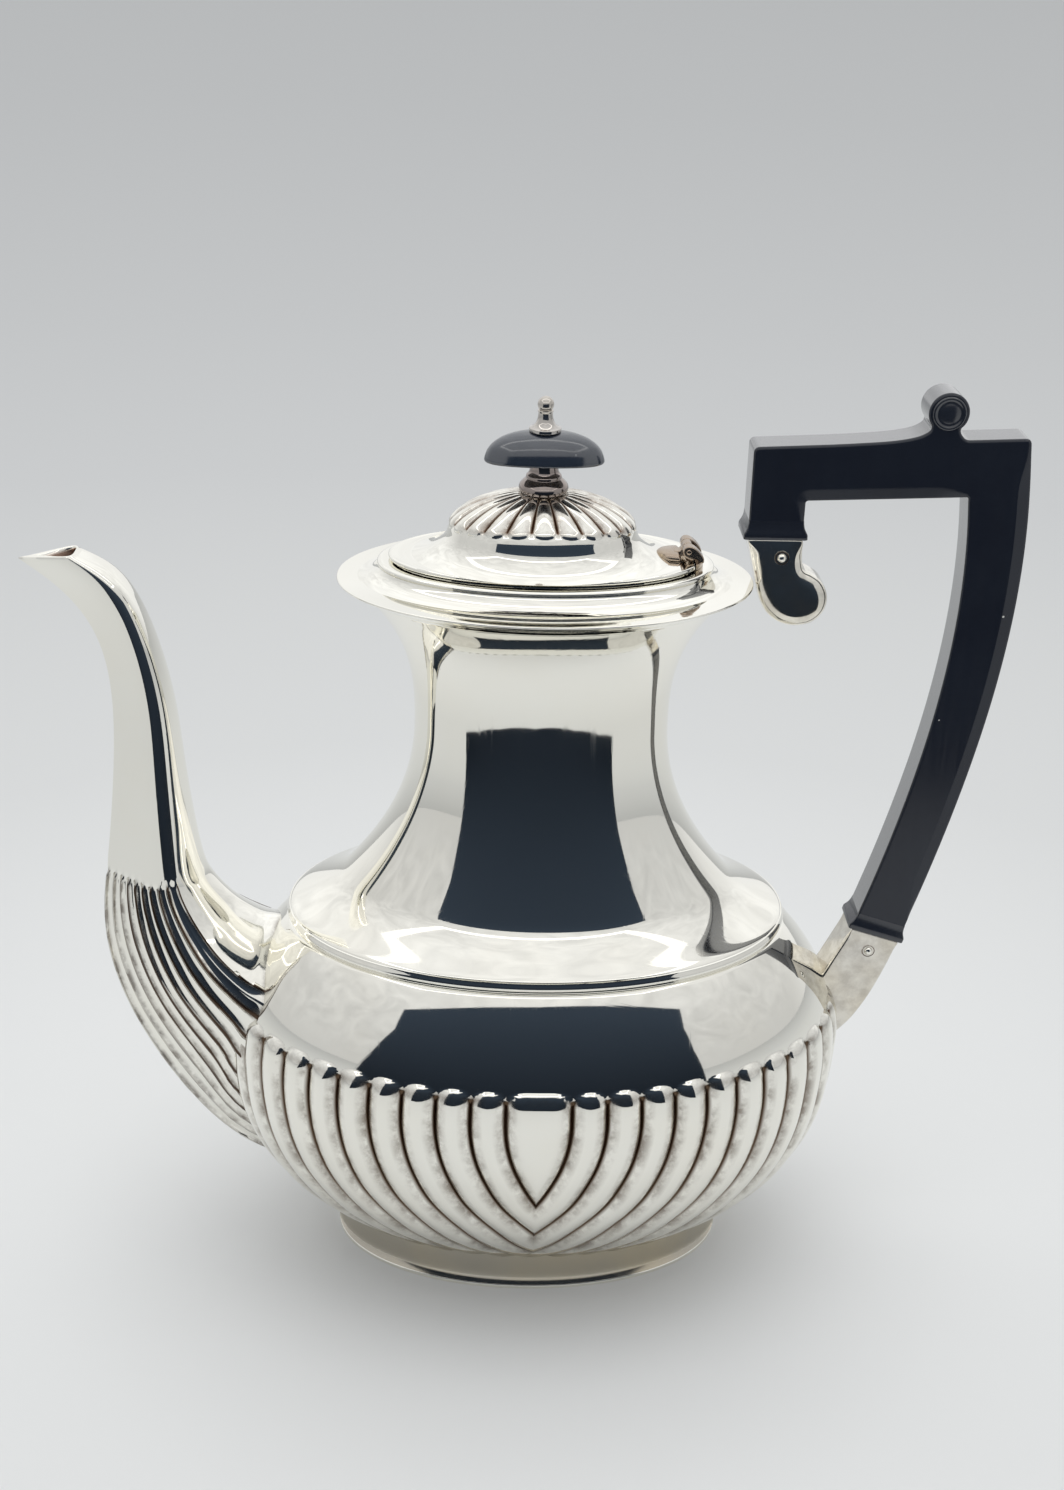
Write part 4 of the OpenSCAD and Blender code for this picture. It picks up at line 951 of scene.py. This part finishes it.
def black_group():
    """Fine grain, wear and dust of dark turned and carved pieces."""
    nodes, given = new_group("black grain", ("Dark", "Worn"), ("Gloss", "Dust"))
    where = nodes.where()
    cloud = nodes.noise(where, 55.0, 5.0, Roughness=0.6)
    grain = nodes.stretched(where, (0.0, 0.35, 0.0), (1400, 900, 55), 3.0)
    dots = nodes.add("ShaderNodeTexVoronoi", Vector=where, Scale=170.0).outputs
    worn = nodes.mix(nodes.fade(cloud, 0.4, 0.75), given["Dark"], given["Worn"])
    chance = nodes.add("ShaderNodeSeparateColor", Color=dots["Color"]).outputs[0]
    small = nodes.math("LESS_THAN", dots["Distance"], 0.045)
    speck = nodes.times(nodes.times(small, nodes.math("GREATER_THAN", chance, 0.8)), given["Dust"])
    rough = nodes.times(given["Gloss"], nodes.fade(grain, 0.3, 0.7, 0.8, 1.2))
    nodes.add("NodeGroupOutput", Colour=nodes.mix(speck, worn, (0.6, 0.6, 0.58, 1.0)),
              Roughness=nodes.plus(rough, nodes.times(speck, 0.3)), Height=grain)
    return nodes.tree


SILVER = silver_group()
BLACK = black_group()
PRINCIPLED = "ShaderNodeBsdfPrincipled"


def new_finish(name):
    made = bpy.data.materials.new(name)
    made.use_nodes = True
    return made, Nodes(made.node_tree)


def silver_finish(name, bright, tarnish, dullness, stain, mark=None, lined=None, soiled=0.0):
    """Silver with dirt and tarnish where the mark says, and painted shade on the lid's upper dome, or evenly soiled;
    lined is the colour of an inside of its own.
    """
    made, nodes = new_finish(name)
    wear = nodes.add("ShaderNodeGroup", node_tree=SILVER, Bright=bright, Tarnish=tarnish, Dullness=dullness,
                     Stain=stain, Groove=nodes.mark(mark) if mark else soiled).outputs
    colour, rough = wear["Colour"], wear["Roughness"]
    if lined:
        lining = nodes.mark("inside")
        colour = nodes.mix(lining, colour, lined)
        rough = nodes.math("MAXIMUM", rough, nodes.times(lining, 0.42))
    nodes.show(PRINCIPLED, **{"Base Color": colour}, Roughness=rough, Metallic=1.0,
               Normal=nodes.bump(wear["Height"], 0.2, 0.001))
    return made


def black_finish(name, dark, worn, gloss, dust, ior, polish=None):
    """Black, with a coat where the polish attribute says that hands rub it."""
    made, nodes = new_finish(name)
    wear = nodes.add("ShaderNodeGroup", node_tree=BLACK, Dark=dark, Worn=worn, Gloss=gloss, Dust=dust).outputs
    coat = {"Coat Weight": nodes.mark(polish), "Coat IOR": 2.2, "Coat Roughness": 0.2} if polish else {}
    nodes.show(PRINCIPLED, **{"Base Color": wear["Colour"]}, Roughness=wear["Roughness"], IOR=ior,
               Normal=nodes.bump(wear["Height"], 0.01, 0.0002), **coat)
    return made


BRIGHT = (0.93, 0.915, 0.85, 1.0)
BROWN = (0.13, 0.085, 0.055, 1.0)
polished = silver_finish("polished silver", BRIGHT, BROWN, 0.045, 0.05)
lobed = silver_finish("lobed silver", BRIGHT, BROWN, 0.05, 0.05, "groove")
reeded = silver_finish("reeded silver", BRIGHT, (0.09, 0.06, 0.042, 1.0), 0.05, 0.06, "groove",
                       lined=(0.52, 0.36, 0.29, 1.0))
# Its tarnish colour also paints the shade on the upper dome, where the lid's mark darkens it.
petalled = silver_finish("petalled silver", BRIGHT, (0.20, 0.13, 0.09, 1.0), 0.05, 0.05, "groove")
dull = silver_finish("dull silver", (0.80, 0.775, 0.715, 1.0), BROWN, 0.12, 0.3, soiled=0.3)
boot_silver = silver_finish("boot silver", BRIGHT, BROWN, 0.06, 0.25, soiled=0.28)
aged = silver_finish("aged silver", (0.33, 0.285, 0.265, 1.0), (0.10, 0.07, 0.06, 1.0), 0.09, 0.2)
worn = silver_finish("worn silver", (0.55, 0.525, 0.50, 1.0), BROWN, 0.07, 0.1)
# Partly the foot's own warm, dull tarnish and partly painted shade: the base colour is darkened for the shadowed
# floor that the skirt reflects.
shaded_foot_silver = silver_finish("shaded foot silver", (0.52, 0.485, 0.415, 1.0), BROWN, 0.2, 0.3)
brown_silver = silver_finish("browned silver", (0.42, 0.34, 0.27, 1.0), (0.07, 0.045, 0.03, 1.0), 0.22, 0.2)
handle_black = black_finish("satin black", (0.010, 0.013, 0.022, 1.0), (0.013, 0.017, 0.027, 1.0), 0.2, 1.0, 1.5,
                            polish="side")
knob_black = black_finish("gloss black", (0.018, 0.026, 0.042, 1.0), (0.022, 0.030, 0.047, 1.0), 0.15, 0.2, 2.1)


def paint(piece, finish):
    piece.data.materials.clear()
    piece.data.materials.append(finish)


skirt, foot_edge = make_foot()
paint(skirt, shaded_foot_silver)
paint(foot_edge, polished)
for make, finish in ((make_bowl, lobed), (make_shoulder_band, polished), (make_neck, polished), (make_rim, polished),
                     (make_seat, polished), (make_spout, reeded), (make_lid, petalled), (make_knob, knob_black)):
    paint(make(), finish)
for piece, finish in zip(make_finial(), (aged, worn)):
    paint(piece, finish)
for make, finish in ((make_handle, handle_black), (make_boot, boot_silver), (make_cup, dull),
                     (make_fixed_leaf, brown_silver), (make_moving_leaf, brown_silver), (make_rod, brown_silver)):
    paint(make(), finish)
for end in RIVETS:
    paint(make_rivet(end), lobed)
for node, finish in (("base_plate", dull), ("lid_bezel", polished), ("finial_washer", dull), ("finial_nut", dull)):
    paint(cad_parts[node], finish)


# Floor with a painted pool of light, card of painted shade, light and camera; these are in metres

STRIP = 0.032
CARD_Y, CARD_TOP = -0.205, 0.27
CARD = [(-0.249, 0.002), (-0.17, 0.026), (-0.09, 0.041), (-0.005, 0.049), (0.082, 0.045), (0.16, 0.032),
        (0.232, 0.012), (0.222, 0.06), (0.21, 0.13), (0.212, 0.2), (0.235, CARD_TOP), (0.119, CARD_TOP),
        (0.014, 0.26), (-0.099, 0.258), (-0.176, 0.257), (-0.17, 0.19), (-0.195, 0.12), (-0.235, 0.03)]


def only_reflected(piece, places):
    """Put a piece's points in these places and show it in reflections only."""
    for point, place in zip(piece.data.vertices, places):
        point.co = place
    for way in ("camera", "diffuse", "shadow", "transmission"):
        setattr(piece, "visible_" + way, False)


def make_floor():
    bpy.ops.mesh.primitive_circle_add(vertices=96, radius=6.0, fill_type="NGON", location=(0, 0, 0))
    floor = name_new("floor")
    made, nodes = new_finish("pale floor")
    # Painted light: the floor is brightest round the pot and greyer with distance, a painted pool of light and its
    # fall-off.
    far = nodes.add("ShaderNodeVectorMath", operation="LENGTH", Vector=nodes.where()).outputs["Value"]
    tone = nodes.ramp(nodes.math("DIVIDE", far, 5.0), (0.0, (0.79, 0.80, 0.80)), (0.024, (0.80, 0.81, 0.81)),
                      (0.062, (0.68, 0.69, 0.69)), (0.10, (0.645, 0.655, 0.655)), (0.14, (0.605, 0.615, 0.62)),
                      (0.22, (0.585, 0.595, 0.60)), (0.5, (0.555, 0.565, 0.57)), (1.0, (0.53, 0.54, 0.545)))
    nodes.show(PRINCIPLED, **{"Base Color": tone, "Specular IOR Level": 0.1}, Roughness=0.9)
    paint(floor, made)
    return floor


# Painted shade: a dim glowing sheet, seen only in reflections, stands for the dark room in front of the pot; it glows
# lighter towards its top.
def make_card():
    bpy.ops.mesh.primitive_circle_add(vertices=len(CARD), fill_type="NGON")
    card = name_new("painted_shade_card")
    only_reflected(card, [(x, CARD_Y, z) for x, z in CARD])
    made, nodes = new_finish("painted shade card")
    height = nodes.math("DIVIDE", nodes.axes(nodes.where())["Z"], CARD_TOP)
    tone = nodes.ramp(height, (0.1, (0.011, 0.015, 0.022)), (0.9, (0.034, 0.047, 0.068)))
    nodes.show("ShaderNodeEmission", Strength=1.0, Color=tone)
    paint(card, made)
    return card


def make_strips():
    """Frame of light over the pot, brightest along the middle of its bars."""
    bpy.ops.mesh.primitive_plane_add(size=1.0)
    strips = name_new("light_strips")
    only_reflected(strips, [(x, y, 0.4) for y in (-0.245, 0.012) for x in (-0.215, 0.226)])
    open_mesh(strips)
    bpy.ops.mesh.inset(thickness=STRIP)
    bpy.ops.mesh.delete(type="FACE")
    bpy.ops.object.mode_set(mode="OBJECT")
    made, nodes = new_finish("light strips")
    axes = nodes.axes(nodes.where())
    away = []
    for axis, middle, half in (("X", 0.0055, 0.2205), ("Y", -0.1165, 0.1285)):
        off = nodes.math("ABSOLUTE", nodes.math("SUBTRACT", axes[axis], middle))
        away.append(nodes.math("SUBTRACT", off, half - STRIP / 2))
    edge = nodes.math("DIVIDE", nodes.math("ABSOLUTE", nodes.math("MAXIMUM", *away)), STRIP / 2)
    tone = nodes.ramp(edge, (0.0, (2.9, 2.87, 2.8)), (0.45, (1.8, 1.79, 1.76)), (1.0, (0.96, 0.96, 0.95)))
    nodes.show("ShaderNodeEmission", Strength=1.0, Color=tone)
    paint(strips, made)
    return strips


def make_stage():
    floor, card, strips = make_floor(), make_card(), make_strips()


def make_light():
    world = bpy.data.worlds.new("pale tent")
    bpy.context.scene.world = world
    world.use_nodes = True
    nodes = Nodes(world.node_tree)
    where = nodes.where("Generated")
    axes = nodes.axes(where)
    tent = nodes.ramp(axes["Z"], (0.0, (0.60, 0.605, 0.61)), (0.25, (0.64, 0.645, 0.65)), (0.45, (0.67, 0.675, 0.68)),
                      (0.7, (0.80, 0.805, 0.81)), (0.95, (0.95, 0.955, 0.96)))
    tent = nodes.mix(1.0, tent, nodes.fade(axes["Y"], 0.15, 0.8, 1.0, 1.5), "MULTIPLY")
    folds = nodes.noise(where, 5.0, 5.0, Roughness=0.55, Distortion=1.2)
    folded = nodes.mix(1.0, tent, nodes.fade(folds, 0.34, 0.66, 0.88, 1.08), "MULTIPLY")
    tent = nodes.mix(nodes.fade(axes["Z"], 0.02, 0.35), tent, folded)
    seen = nodes.mix(nodes.add("ShaderNodeLightPath").outputs["Is Camera Ray"], tent, (0.45, 0.458, 0.462, 1.0))
    nodes.show("ShaderNodeBackground", "ShaderNodeOutputWorld", Strength=1.0, Color=seen)
    bpy.ops.object.light_add(type="AREA", location=(0.05, 0.05, 1.3))
    lamp = name_new("soft_top_lamp")
    lamp.data.shape = "DISK"
    lamp.data.size = 0.9
    lamp.data.energy = 3.0
    lamp.visible_glossy = False


def make_camera():
    bpy.ops.object.camera_add()
    eye = name_new("camera")
    eye.data.sensor_width = 36.0
    eye.data.lens = 48.16
    eye.data.clip_start = 0.01
    right = (0.9994, -0.0255, 0.0248)
    up = (-0.0122, 0.4113, 0.9114)
    back = (-0.0334, -0.9111, 0.4107)
    spot = (-0.0122, -0.4329, 0.3321)
    eye.matrix_world = Matrix([[right[k], up[k], back[k], spot[k]] for k in range(3)] + [[0, 0, 0, 1]])
    bpy.context.scene.camera = eye


make_stage()
make_light()
make_camera()
bpy.context.scene.view_settings.view_transform = "Standard"
